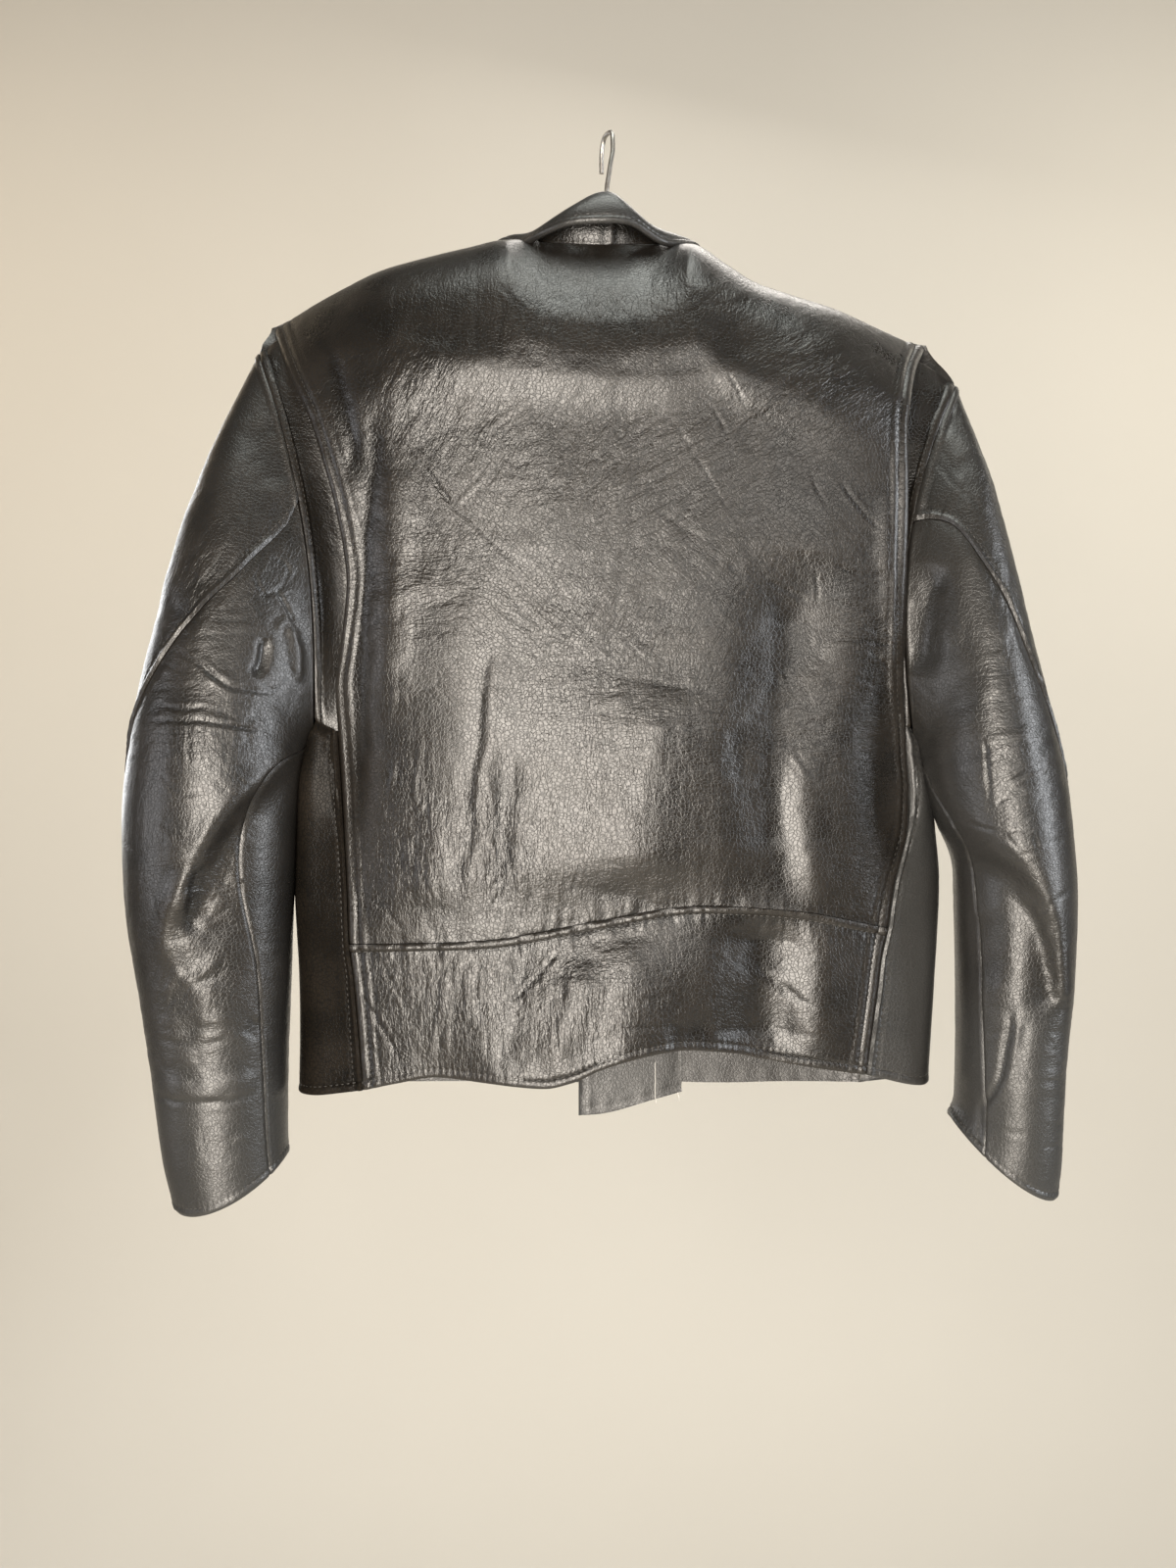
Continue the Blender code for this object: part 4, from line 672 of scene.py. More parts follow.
def side_panel(side):
    """The panel under the arm, from hem to armhole."""
    sign = side["inward"]
    top, right = under_arm(side), side_front_seam(side)
    left = back_point(side["edge"], side_up())
    hem_x, z = side["side_x"][0][1], side["hem_corner_z"]
    bottom = through([left[0], (hem_x + sign * 0.013, -0.055, z), (hem_x, -0.034, z - 0.001),
                      (hem_x + sign * 0.008, -0.011, z - 0.002), right[0]])(length_places(top))
    grid = coons(bottom, top, left, right)
    rows, columns = grid.shape[:2]
    v = length_places(left)
    middle = grid[:, columns // 2, 0]
    swell = np.outer(np.clip(np.sin(v * np.pi), 0, 1), np.clip(np.sin(length_places(top) * np.pi), 0, 1) ** 1.5)
    grid[..., 0] += (smooth(side["side_x"], v) - middle)[:, None] * swell
    return grid


def gusset(side):
    """The pleat behind the shoulder blade, from the armhole seam to under the back's edge."""
    turns = np.concatenate([UNDER_TURNS[list(UNDER_TURNS).index(GUSSET_TURN):], UPPER_TURNS[1:5]])
    left = ring(side, turns)
    places = ARM_PLACE + (GUSSET_TOP - ARM_PLACE) * length_places(left)
    under = side["edge"] + side["inward"] * GUSSET_TUCK
    right = back_point(under, places) - back_facing(np.full_like(places, under), places) * (LEATHER + 0.008)
    share = np.linspace(0, 1, 8)[:, None]
    bottom = left[0] * (1 - share) + right[0] * share + np.array((0, 0.003, -0.012)) * np.sin(share * np.pi)
    top = left[-1] * (1 - share) + right[-1] * share + np.array((0, 0.002, 0.007)) * np.sin(share * np.pi)
    grid = coons(bottom, top, left, right)
    sag = np.outer(np.sin(length_places(left) * np.pi) ** 0.6, np.sin(share[:, 0] * np.pi))
    grid[..., 1] += GUSSET_SAG * sag
    return grid


def shoulder_tip(side):
    x, z = SHOULDER_LINE[side["tip"]]
    return np.array([x, 0, z])


def front_border(side):
    """Side seam and armhole seam of a front, from hem to shoulder."""
    turns = UPPER_TURNS[4:list(UPPER_TURNS).index(FRONT_SIDE_TURN)][::-1]
    armhole = ring(side, turns)
    tip = shoulder_tip(side)
    return np.concatenate([side_front_seam(side), armhole, [(armhole[-1] + tip) / 2, tip]])


def front(side):
    """A front panel, lying flat, up to the zip and the lapel's roll line."""
    sign = side["inward"]
    foot = np.array(ZIP_FOOT) - (sign * (ZIP_HALF + SEAM_GAP), 0, 0.002)
    head = np.array(ZIP_HEAD) - (sign * (ZIP_HALF + SEAM_GAP), 0, 0)
    left = front_border(side)
    x = np.linspace(left[-1][0], side["neck_point"], 9)
    top = np.stack([x, 0 * x, smooth(SHOULDER_LINE, x)], -1)
    roll = (side["neck_point"] + sign * 0.010, FRONT_DEPTH, -0.150)
    opening = through([foot, (foot + head) / 2, head, roll, (roll[0] - sign * 0.006, FRONT_DEPTH, -0.110), top[-1]])
    right = opening(length_places(left))
    start = left[0]
    bottom = through([start, (start * 2 + foot) / 3 + (0, 0.001, 0), (start + foot * 2) / 3 + (0, 0.001, -0.001), foot])
    grid = coons(bottom(np.linspace(0, 1, 9)), top, left, right)
    near = np.clip((grid[-1:, :, 2] - grid[..., 2]) / FRONT_ROUNDING, 0, 1)
    flat = FRONT_DEPTH * np.sqrt(1 - (1 - near) ** 2)
    share = np.clip(np.linspace(0, 1, 9)[None, :] / 0.35, 0, 1) ** 0.8
    grid[:-1, :, 1] = (share * flat + (1 - share) * np.minimum(grid[..., 1], FRONT_DEPTH))[:-1]
    return grid


def underlap():
    """The wind flap behind the zip, sewn inside the right front, longer than the hem."""
    place = np.linspace(0, 1, 9)
    x = UNDERLAP_X[0] + (UNDERLAP_X[1] - UNDERLAP_X[0]) * place
    bottom_z = smooth(UNDERLAP_BOTTOM, place)
    v = np.linspace(0, 1, 9)[:, None]
    z = bottom_z[None] + v * (UNDERLAP_TOP_Z - bottom_z[None])
    y = np.full_like(z, FRONT_DEPTH - LEATHER - 0.0006)
    y = y - 0.004 * (1 - v) ** 3 * (1 - place[None]) ** 0.5
    return np.stack([np.broadcast_to(x[None], z.shape), y, z], -1)


def collar():
    """The stand rises from the neck seam; the fall turns down over it from the fold."""
    place = np.linspace(0, 1, 29)
    x = np.linspace(NECK_LEFT, NECK_RIGHT, 9)
    neck = np.stack([x * 0.98, 0.0010 - smooth(NECK_DEPTH, x) * 0.985, smooth(SHOULDER_LINE, x) - 0.002], -1)
    seam_line = [*COLLAR_SEAM_LEFT, *neck, *COLLAR_SEAM_RIGHT]
    seam, fold, edge = (through(line)(place) for line in (seam_line, COLLAR_FOLD, COLLAR_EDGE))
    away = seam - fold
    stand_top = fold + away / np.linalg.norm(away, axis=1)[:, None] * 0.0045
    rows = np.linspace(0, 1, 4)[:, None, None]
    stand = seam[None] * (1 - rows) + stand_top[None] * rows
    rows = np.linspace(0, 1, 7)[:, None, None]
    fall = fold[None] * (1 - rows) + edge[None] * rows
    facing, _ = facing_out(fall, (0, 0, -0.130))
    fall = fall + facing * np.sin(rows * np.pi) ** 0.8 * COLLAR_SWELL
    return stand, fall


def lapel(side):
    """The front's top corner, turned back flat over it."""
    sign = side["inward"]
    places = np.linspace(0, 1, 9)
    y = FRONT_DEPTH + LEATHER + 0.0006
    x = side["neck_point"]
    foot = np.array((ZIP_HEAD[0] - sign * 0.009, y, ZIP_HEAD[2] + 0.006))
    end = np.array((x + sign * 0.008, y + 0.001, -0.158))
    tip = np.array((x - sign * 0.052, y + 0.001, -0.205))
    inner = through([foot, foot * 0.5 + end * 0.5 + (sign * 0.003, 0.002, 0), end])(places)
    outer = through([foot - (sign * 0.006, 0, 0), foot * 0.45 + tip * 0.55 + (-sign * 0.002, 0.001, 0), tip])(places)
    bottom = through([foot, foot - (sign * 0.006, 0, 0)])(np.linspace(0, 1, 5))
    top = through([end, end * 0.5 + tip * 0.5 + (0, 0.001, 0.002), tip])(np.linspace(0, 1, 5))
    return coons(bottom, top, inner, outer)


def spline(places, values, at):
    """The smooth curve through the values at their places, along the first axis."""
    count = len(places)
    flat = values.reshape(count, -1)
    step = np.diff(places)
    slope = np.diff(flat, axis=0) / step[:, None]
    matrix = np.eye(count)
    right = np.zeros_like(flat)
    for n in range(1, count - 1):
        matrix[n, n - 1:n + 2] = step[n - 1], 2 * (step[n - 1] + step[n]), step[n]
        right[n] = 6 * (slope[n] - slope[n - 1])
    bend = np.linalg.solve(matrix, right)
    i = np.clip(np.searchsorted(places, at, side="right") - 1, 0, count - 2)
    width = step[i][:, None]
    u = (at - places[i])[:, None] / width
    curve = (1 - u) * flat[i] + u * flat[i + 1]
    curve += width**2 / 6 * (((1 - u) ** 3 - (1 - u)) * bend[i] + (u**3 - u) * bend[i + 1])
    return curve.reshape((len(at),) + values.shape[1:])


def refine(grid, rows, columns):
    """The same surface as the grid, with more points, evenly spread."""
    v = np.mean([length_places(grid[:, c]) for c in range(grid.shape[1])], axis=0)
    u = np.mean([length_places(grid[r]) for r in range(grid.shape[0])], axis=0)
    tall = spline(v, grid, np.linspace(0, 1, rows))
    return spline(u, tall.swapaxes(0, 1), np.linspace(0, 1, columns)).swapaxes(0, 1)


def even_places(surface, low, high, count):
    """Places from low to high that lie equally far apart on a surface, whose points are surface(places)."""
    fine = np.linspace(low, high, 600)
    points = surface(fine)
    length = np.concatenate([[0], np.cumsum(np.linalg.norm(np.diff(points, axis=0), axis=-1).mean(-1))])
    return np.interp(np.linspace(0, length[-1], count), length, fine)


def noise(spot, seed):
    """Smooth noise from -1 to 1 with bumps one unit across."""
    spot = np.asarray(spot, float) + 512
    cell = np.floor(spot).astype(np.int64)
    share = spot - cell
    share = share**3 * (share * (share * 6 - 15) + 10)
    total = np.zeros(spot.shape[:-1])
    size = spot.shape[-1]
    for corner in range(2**size):
        bits = np.array([corner >> n & 1 for n in range(size)])
        place = cell + bits
        mixed = np.full(total.shape, seed * 7919 + 17, np.int64)
        for n in range(size):
            mixed = (mixed ^ place[..., n] * (73856093, 19349663, 83492791)[n]) * 1103515245 + 12345
            mixed = (mixed >> 7 ^ mixed) & 0x7FFFFFFF
        weight = np.prod(np.where(bits, share, 1 - share), axis=-1)
        total += weight * ((mixed & 0xFFFF) / 32767.5 - 1)
    return total


def seen(points):
    """Where points of the garment appear on the plane of its back, across and up, in millimetres."""
    scale = EYE_DISTANCE / (points[..., 1] - EYE[1])
    across = EYE[0] + (points[..., 0] - EYE[0]) * scale
    up = EYE[2] + (points[..., 2] - EYE[2]) * scale
    return np.stack([across, up], -1) * 1000


def to_line(spots, line):
    """Distance from spots to a line, which side they are on, and how far along the nearest place is."""
    start, span = line[:-1], np.diff(line, axis=0)
    length = np.linalg.norm(span, axis=1)
    offset = spots[:, None] - start[None]
    share = np.clip((offset * span).sum(-1) / length**2, 0, 1)
    away = offset - share[..., None] * span
    distance = np.linalg.norm(away, axis=-1)
    nearest = distance.argmin(1)
    row = np.arange(len(spots))
    side = np.sign(span[nearest, 0] * away[row, nearest, 1] - span[nearest, 1] * away[row, nearest, 0])
    before = np.concatenate([[0], np.cumsum(length)])
    along = (before[nearest] + share[row, nearest] * length[nearest]) / before[-1]
    return distance[row, nearest], side, along


def crease_relief(place, creases):
    """Heights in millimetres from the creases given, at places on the plane of the back."""
    height = np.zeros(place.shape[:-1])
    wobble = np.stack([noise(place / 16, 71), noise(place / 16, 72)], -1) * 1.3
    wobble += np.stack([noise(place / 5, 73), noise(place / 5, 74)], -1) * 0.5
    for kind, width, size, line in creases:
        line = np.array(line, float)
        path = smooth(list(zip(length_places(line), line)), np.linspace(0, 1, 6 * len(line)))
        reach = {"fold": 2.6, "step": 3.2}.get(kind, 4.0) * width
        low, high = path.min(0) - reach, path.max(0) + reach
        near = ((place > low) & (place < high)).all(-1)
        if not near.any():
            continue
        spots = place[near] + wobble[near] * min(1.0, width / 5)
        distance, side, along = to_line(spots, path)
        fade = np.clip(np.minimum(along, 1 - along) * 5, 0.0, 1) ** 0.8
        fade = np.where((along <= 0) | (along >= 1), 0, fade)
        spread = distance / (width * (0.75 if kind in ("line", "ridge") else 1.0))
        fade = fade * (0.75 + 0.45 * noise(place[near] / 9, 75)) if kind in ("line", "ridge") else fade
        size = size * (0.65 if kind in ("line", "ridge") else 1.0)
        if kind == "line":
            shape = np.exp(-(spread**2)) - 0.4 * np.exp(-((spread - 1.9) ** 2))
        elif kind == "ridge":
            shape = np.exp(-(spread**2)) - 0.25 * np.exp(-((spread - 2.0) ** 2))
        elif kind == "step":
            shape = np.tanh(side * spread * 2.2) * np.exp(-((spread / 1.5) ** 2)) * 0.5
        else:
            shape = np.exp(-(spread**2))
        height[near] += size * fade * shape
    return height


def patch_weights(place, patches, face):
    """How strongly small wrinkles run each way, from the patches given and a little everywhere."""
    weights = {}
    for number, way in enumerate(WAYS):
        weight = 0.30 * np.clip(noise(place / 45 + number * 7, 90 + number), 0, 1)
        for kind, centre, size, strength in patches:
            if kind == way:
                spread = (place - centre) / size
                weight = weight + face * strength * np.exp(-1.1 * (spread**2).sum(-1))
        weights[way] = np.clip(weight, 0, 1.2)
    return weights


def wrinkle_relief(points, weights, seed):
    """Small wrinkles: rounded pads between narrow valleys, drawn out along each way."""
    height = np.zeros(points.shape[:-1])
    for number, (way, degrees) in enumerate(WAYS.items()):
        turn = math.radians(degrees)
        along = points[..., 0] * math.cos(turn) + points[..., 2] * math.sin(turn)
        across = -points[..., 0] * math.sin(turn) + points[..., 2] * math.cos(turn)
        pads = 0
        for (long, wide, deep), shift, share in WRINKLE_PADS:
            spot = np.stack([along / long, across / wide, points[..., 1] / deep], -1)
            pads = pads + share * (np.abs(noise(spot, seed + shift + number)) ** 0.7 - 0.45)
        height += weights[way] * WRINKLE_HEIGHT * pads
    return height


def border_distances(grid):
    """How far each point is from the first and last column and the first and last row, in millimetres."""
    across = np.linalg.norm(np.diff(grid, axis=1), axis=-1) * 1000
    upward = np.linalg.norm(np.diff(grid, axis=0), axis=-1) * 1000
    left = np.concatenate([np.zeros_like(across[:, :1]), np.cumsum(across, axis=1)], axis=1)
    start = np.concatenate([np.zeros_like(upward[:1]), np.cumsum(upward, axis=0)], axis=0)
    return {"left": left, "right": left[:, -1:] - left, "start": start, "end": start[-1:] - start}


def edge_relief(name, distances, seed):
    """Turned edges, seams, puckers at the stitches and gathers, along a panel's borders."""
    height = np.zeros_like(distances["left"])
    for number, (border, kind) in enumerate(zip(BORDERS, EDGES[name])):
        profile, rows, pucker, gather, reach = PROFILES[kind]
        distance = distances[border]
        along = distances["start"] if border in ("left", "right") else distances["left"]
        height += np.interp(distance, [k[0] for k in profile], [k[1] for k in profile])
        for row in rows:
            wave = np.cos(2 * np.pi * along / STITCH_PITCH + 2 * noise(along[..., None] / 30, seed + number))
            height += pucker * wave * np.exp(-(((distance - row) / 3.0) ** 2))
        if gather:
            spot = np.stack([along / 3.6, distance / 26], -1)
            folds = np.abs(noise(spot, seed + 30 + number)) ** 0.8 - 0.4
            spot = np.stack([along / 9.0, distance / 40], -1)
            folds += 0.8 * noise(spot, seed + 40 + number)
            height += gather * folds * np.exp(-((distance / reach) ** 1.5)) * np.clip(distance / 2, 0, 1)
    return height


def facing_out(grid, inside):
    """Unit normals that point away from the inside, and whether the grid had to be turned for them."""
    normal = np.cross(np.gradient(grid, axis=0), np.gradient(grid, axis=1))
    normal /= np.maximum(np.linalg.norm(normal, axis=-1, keepdims=True), 1e-12)
    turned = (normal * (grid - np.asarray(inside, float))).sum() < 0
    return (-normal if turned else normal), turned


def border_loop(rows, columns):
    """The numbers of a grid's border points, in order round it."""
    number = np.arange(rows * columns).reshape(rows, columns)
    return np.concatenate([number[0], number[1:, -1], number[-1, -2::-1], number[-2:0:-1, 0]])


def grid_quads(rows, columns):
    number = np.arange(rows * columns).reshape(rows, columns)
    return np.stack([number[:-1, :-1], number[:-1, 1:], number[1:, 1:], number[1:, :-1]], -1).reshape(-1, 4)


def inset(grid, distance):
    """The grid with its border moved in along its own surface."""
    moved = grid.copy()
    for first, second in ((0, 1), (-1, -2)):
        step = grid[second] - grid[first]
        moved[first] += step / np.maximum(np.linalg.norm(step, axis=-1, keepdims=True), 1e-9) * distance
        step = grid[:, second] - grid[:, first]
        moved[:, first] += step / np.maximum(np.linalg.norm(step, axis=-1, keepdims=True), 1e-9) * distance
    return moved


def mesh_piece(name, points, faces, made_of, marks=None, sharp=40):
    """A mesh in its place under the hook. faces is a list of arrays, each with faces of one size."""
    mesh = bpy.data.meshes.new(name)
    points = np.asarray(points, float) + HANG
    mesh.vertices.add(len(points))
    mesh.vertices.foreach_set("co", points.ravel().astype(np.float32))
    corners = np.concatenate([np.asarray(f).ravel() for f in faces]).astype(np.int32)
    sizes = np.concatenate([np.full(len(f), np.shape(f)[1]) for f in faces]).astype(np.int32)
    mesh.loops.add(len(corners))
    mesh.loops.foreach_set("vertex_index", corners)
    mesh.polygons.add(len(sizes))
    mesh.polygons.foreach_set("loop_start", np.concatenate([[0], np.cumsum(sizes)[:-1]]).astype(np.int32))
    mesh.update(calc_edges=True)
    mesh.validate()
    mesh.shade_smooth()
    mesh.set_sharp_from_angle(angle=math.radians(sharp))
    for mark, values in (marks or {}).items():
        mesh.attributes.new(mark, "FLOAT", "POINT").data.foreach_set("value", values.ravel().astype(np.float32))
    mesh.materials.append(made_of)
    piece = bpy.data.objects.new(name, mesh)
    bpy.context.scene.collection.objects.link(piece)
    return piece


def dress(piece, body, stands_for=None):
    """Hangs a piece on the body that it rides on, and hides the solid that it stands for."""
    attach(piece, body)
    if stands_for:
        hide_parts(stands_for)


def leather_panel(name, grid, inside):
    """Dresses one cut piece of leather: its form with creases and turned edges, its thickness, its stitches."""
    seed = 100 * (1 + sorted(EDGES).index(name))
    facing, turned = facing_out(grid, inside)
    distances = border_distances(grid)
    place = seen(grid)
    face = np.clip(np.abs(facing[..., 1]) * 2.5, 0, 1)
    creases, patches = CREASES.get(name, []), PATCHES.get(name, [])
    weights = patch_weights(place, patches, face)
    wrinkles = wrinkle_relief(grid, weights, seed)
    nearest = np.minimum.reduce(list(distances.values()))
    wrinkles *= np.clip(nearest / 9, 0, 1) * (SLEEVE_WRINKLES if name.startswith("sleeve") else 1)
    folds = crease_relief(place, creases) * face
    edges = edge_relief(name, distances, seed)
    relief = wrinkles + folds + edges
    if name.startswith("side_panel"):
        bulge = np.exp(-(((grid[..., 2] - UNDERARM_LEVEL) / UNDERARM_REACH) ** 2)) * np.clip(distances["end"] / 8, 0, 1)
        relief += UNDERARM_BULGE * bulge * np.sin(np.pi * np.linspace(0, 1, grid.shape[1]))[None] ** 0.7
    relief += 0.5 * noise(grid / 0.055, seed + 3) * np.clip(nearest / 25, 0, 1)
    outer = inset(grid + facing * relief[..., None] / 1000, RIM_INSET)
    inner = inset(outer[::2, ::2], RIM_SLOPE * LEATHER) - facing[::2, ::2] * LEATHER
    fine = relief - smoothed(relief, 6)
    wear = np.clip(0.45 + 0.55 * fine + 0.3 * noise(grid / 0.020, seed + 5), 0, 1)
    wear = np.maximum(wear, 0.9 * np.exp(-nearest / 1.5))
    marks = {way: join_faces(weight) for way, weight in weights.items()}
    marks["wear"] = join_faces(wear)
    marks["faded_and_painted_light"] = join_faces(fading_and_painted_light(name, grid, seed))
    rows, columns = grid.shape[:2]
    inner_rows, inner_columns = inner.shape[:2]
    outer_quads, inner_quads = grid_quads(rows, columns), grid_quads(inner_rows, inner_columns) + rows * columns
    loop = border_loop(rows, columns)
    small = border_loop(inner_rows, inner_columns) + rows * columns
    ahead, small_ahead = np.roll(loop, -2)[::2], np.roll(small, -1)
    rim = np.stack([loop[::2], small, small_ahead, ahead, loop[1::2]], -1)
    if turned:
        rim = rim[:, ::-1]
        inner_quads = inner_quads[:, ::-1]
    else:
        outer_quads = outer_quads[:, ::-1]
    points = np.concatenate([outer.reshape(-1, 3), inner.reshape(-1, 3)])
    # The panel under the left arm gets the painted shade copy of the leather.
    piece = mesh_piece(name + "_leather", points, [outer_quads, inner_quads, rim],
                       painted_shade_leather if name in PAINTED_SHADE_PANELS else leather, marks)
    dress(piece, "jacket", name)
    stitches = stitch_panel(name, outer, facing, distances)


def fading_and_painted_light(name, grid, seed):
    """How far the black is lightened to grey, partly real fade and partly painted light on the right-hand panels and
    the collar: most at the cuffs, the underlap and the sleeves' outsides.
    """
    faded_and_painted_light = FADED_AND_PAINTED_LIGHT.get(name, 0) * (1 + 0.5 * noise(grid / 0.05, seed + 7))
    if name.startswith("sleeve"):
        faded_and_painted_light = faded_and_painted_light + 0.45 * np.clip((-0.60 - grid[..., 2]) / 0.10, 0, 1)
    return np.clip(faded_and_painted_light, 0, 1)


def smoothed(values, reach):
    """Values averaged over a square of reach points each way."""
    width = 2 * reach + 1
    for axis in (0, 1):
        padded = np.concatenate([np.repeat(np.take(values, [0], axis), reach + 1, axis), values,
                                 np.repeat(np.take(values, [-1], axis), reach, axis)], axis)
        total = np.cumsum(padded, axis)
        high = np.take(total, np.arange(width, total.shape[axis]), axis)
        low = np.take(total, np.arange(0, total.shape[axis] - width), axis)
        values = (high - low) / width
    return values


def join_faces(values):
    """Values for a panel's outer points, then for its inner ones."""
    return np.concatenate([values.ravel(), values[::2, ::2].ravel()])


def offset_line(outer, facing, distances, border, far):
    """The line on a panel that runs a distance in millimetres inside one of its borders, and its normals."""
    distance = distances[border]
    if border in ("start", "end"):
        distance, outer, facing = distance.T, outer.swapaxes(0, 1), facing.swapaxes(0, 1)
    points, normals = [], []
    for d, p, n in zip(distance, outer, facing):
        if d[0] > d[-1]:
            d, p, n = d[::-1], p[::-1], n[::-1]
        points.append(values_at(far, d, p))
        normals.append(values_at(far, d, n))
    return np.array(points), np.array(normals)


def stitch_row(line, facing):
    """Points and quads of a row of thread stitches along a line: each rises from one hole and dips into the next."""
    pitch = STITCH_PITCH / 1000
    steps = running_length(line)
    count = int(steps[-1] / pitch)
    if count < 2:
        return np.zeros((0, 3)), np.zeros((0, 4), int)
    starts = (np.arange(count) + 0.5) * steps[-1] / count
    shares = np.array([-0.5, -0.36, 0.0, 0.36, 0.5])
    thick = np.array([0.35, 0.85, 1.0, 0.85, 0.35])
    rise = np.array([-1.0, -0.1, 0.25, -0.1, -1.0])
    at = starts[:, None] + shares[None] * pitch * STITCH_SHARE
    middle = values_at(at, steps, line)
    out = values_at(at, steps, facing)
    out /= np.linalg.norm(out, axis=-1, keepdims=True)
    along = np.gradient(middle, axis=1)
    along /= np.linalg.norm(along, axis=-1, keepdims=True)
    across = np.cross(along, out)
    middle = middle + out * (rise * STITCH_DIP)[None, :, None]
    turns = np.radians([45, 135, 225, 315])
    ring_points = middle[:, :, None] + THREAD_RADIUS * thick[None, :, None, None] * (
        np.cos(turns)[:, None] * across[:, :, None] + np.sin(turns)[:, None] * out[:, :, None]
    )
    points = ring_points.reshape(-1, 3)
    quads = []
    for k in range(4):
        for n in range(4):
            m = (n + 1) % 4
            quads.append((k * 4 + n, k * 4 + m, k * 4 + 4 + m, k * 4 + 4 + n))
    quads += [(3, 2, 1, 0), (16, 17, 18, 19)]
    quads = np.array(quads)[None] + (np.arange(count) * 20)[:, None, None]
    return points, quads.reshape(-1, 4)


def stitch_panel(name, outer, facing, distances):
    """All the stitches of a panel, joined as one piece."""
    parts = []
    for border, kind in zip(BORDERS, EDGES[name]):
        for row in PROFILES[kind][1]:
            line, normals = offset_line(outer, facing, distances, border, row)
            trim = max(2, len(line) // 60)
            points, quads = stitch_row(line[trim:-trim], normals[trim:-trim])
            if len(points):
                parts.append((points, [quads]))
    if not parts:
        return []
    piece = mesh_piece(name + "_stitches", *joined(parts), thread)
    dress(piece, "jacket")
    return [piece]


def node(tree, kind, *inputs, **settings):
    """Adds a shader node. Each input is a socket to link, a value, or None to leave it alone."""
    made = tree.nodes.new(kind)
    for setting, value in settings.items():
        setattr(made, setting, value)
    for socket, value in zip(made.inputs, inputs):
        if isinstance(value, bpy.types.NodeSocket):
            tree.links.new(value, socket)
        elif value is not None:
            socket.default_value = value
    return made


def sum_of(tree, *values):
    total = values[0]
    for value in values[1:]:
        total = node(tree, "ShaderNodeMath", total, value, operation="ADD").outputs[0]
    return total


def times(tree, a, b):
    return node(tree, "ShaderNodeMath", a, b, operation="MULTIPLY").outputs[0]


def spread(tree, value, low, high, to_low=0.0, to_high=1.0, smooth_ends=True):
    """Maps a value from one range to another, held at the ends."""
    kind = "SMOOTHSTEP" if smooth_ends else "LINEAR"
    return node(tree, "ShaderNodeMapRange", value, low, high, to_low, to_high, interpolation_type=kind).outputs[0]


def blended(tree, share, first, second):
    """One colour turning into another."""
    mix = node(tree, "ShaderNodeMix", data_type="RGBA")
    tree.links.new(share, mix.inputs["Factor"])
    for socket, value in ((mix.inputs[6], first), (mix.inputs[7], second)):
        if isinstance(value, bpy.types.NodeSocket):
            tree.links.new(value, socket)
        else:
            socket.default_value = value
    return mix.outputs[2]


def noise_at(tree, place, size, detail=2.0, roughness=0.5):
    """Noise from 0 to 1 with bumps about a size in metres across."""
    return node(tree, "ShaderNodeTexNoise", place, None, 1 / size, detail, roughness)


def start_material(name):
    made = bpy.data.materials.new(name)
    made.use_nodes = True
    tree = made.node_tree
    shader = tree.nodes["Principled BSDF"]
    place = node(tree, "ShaderNodeTexCoord").outputs["Object"]
    return made, tree, shader, place


def bump(tree, shader, height):
    """Raises the surface by a height in millimetres, in the shading only."""
    made = node(tree, "ShaderNodeBump")
    made.inputs["Strength"].default_value = 1.0
    made.inputs["Distance"].default_value = 0.001
    tree.links.new(height, made.inputs["Height"])
    tree.links.new(made.outputs[0], shader.inputs["Normal"])


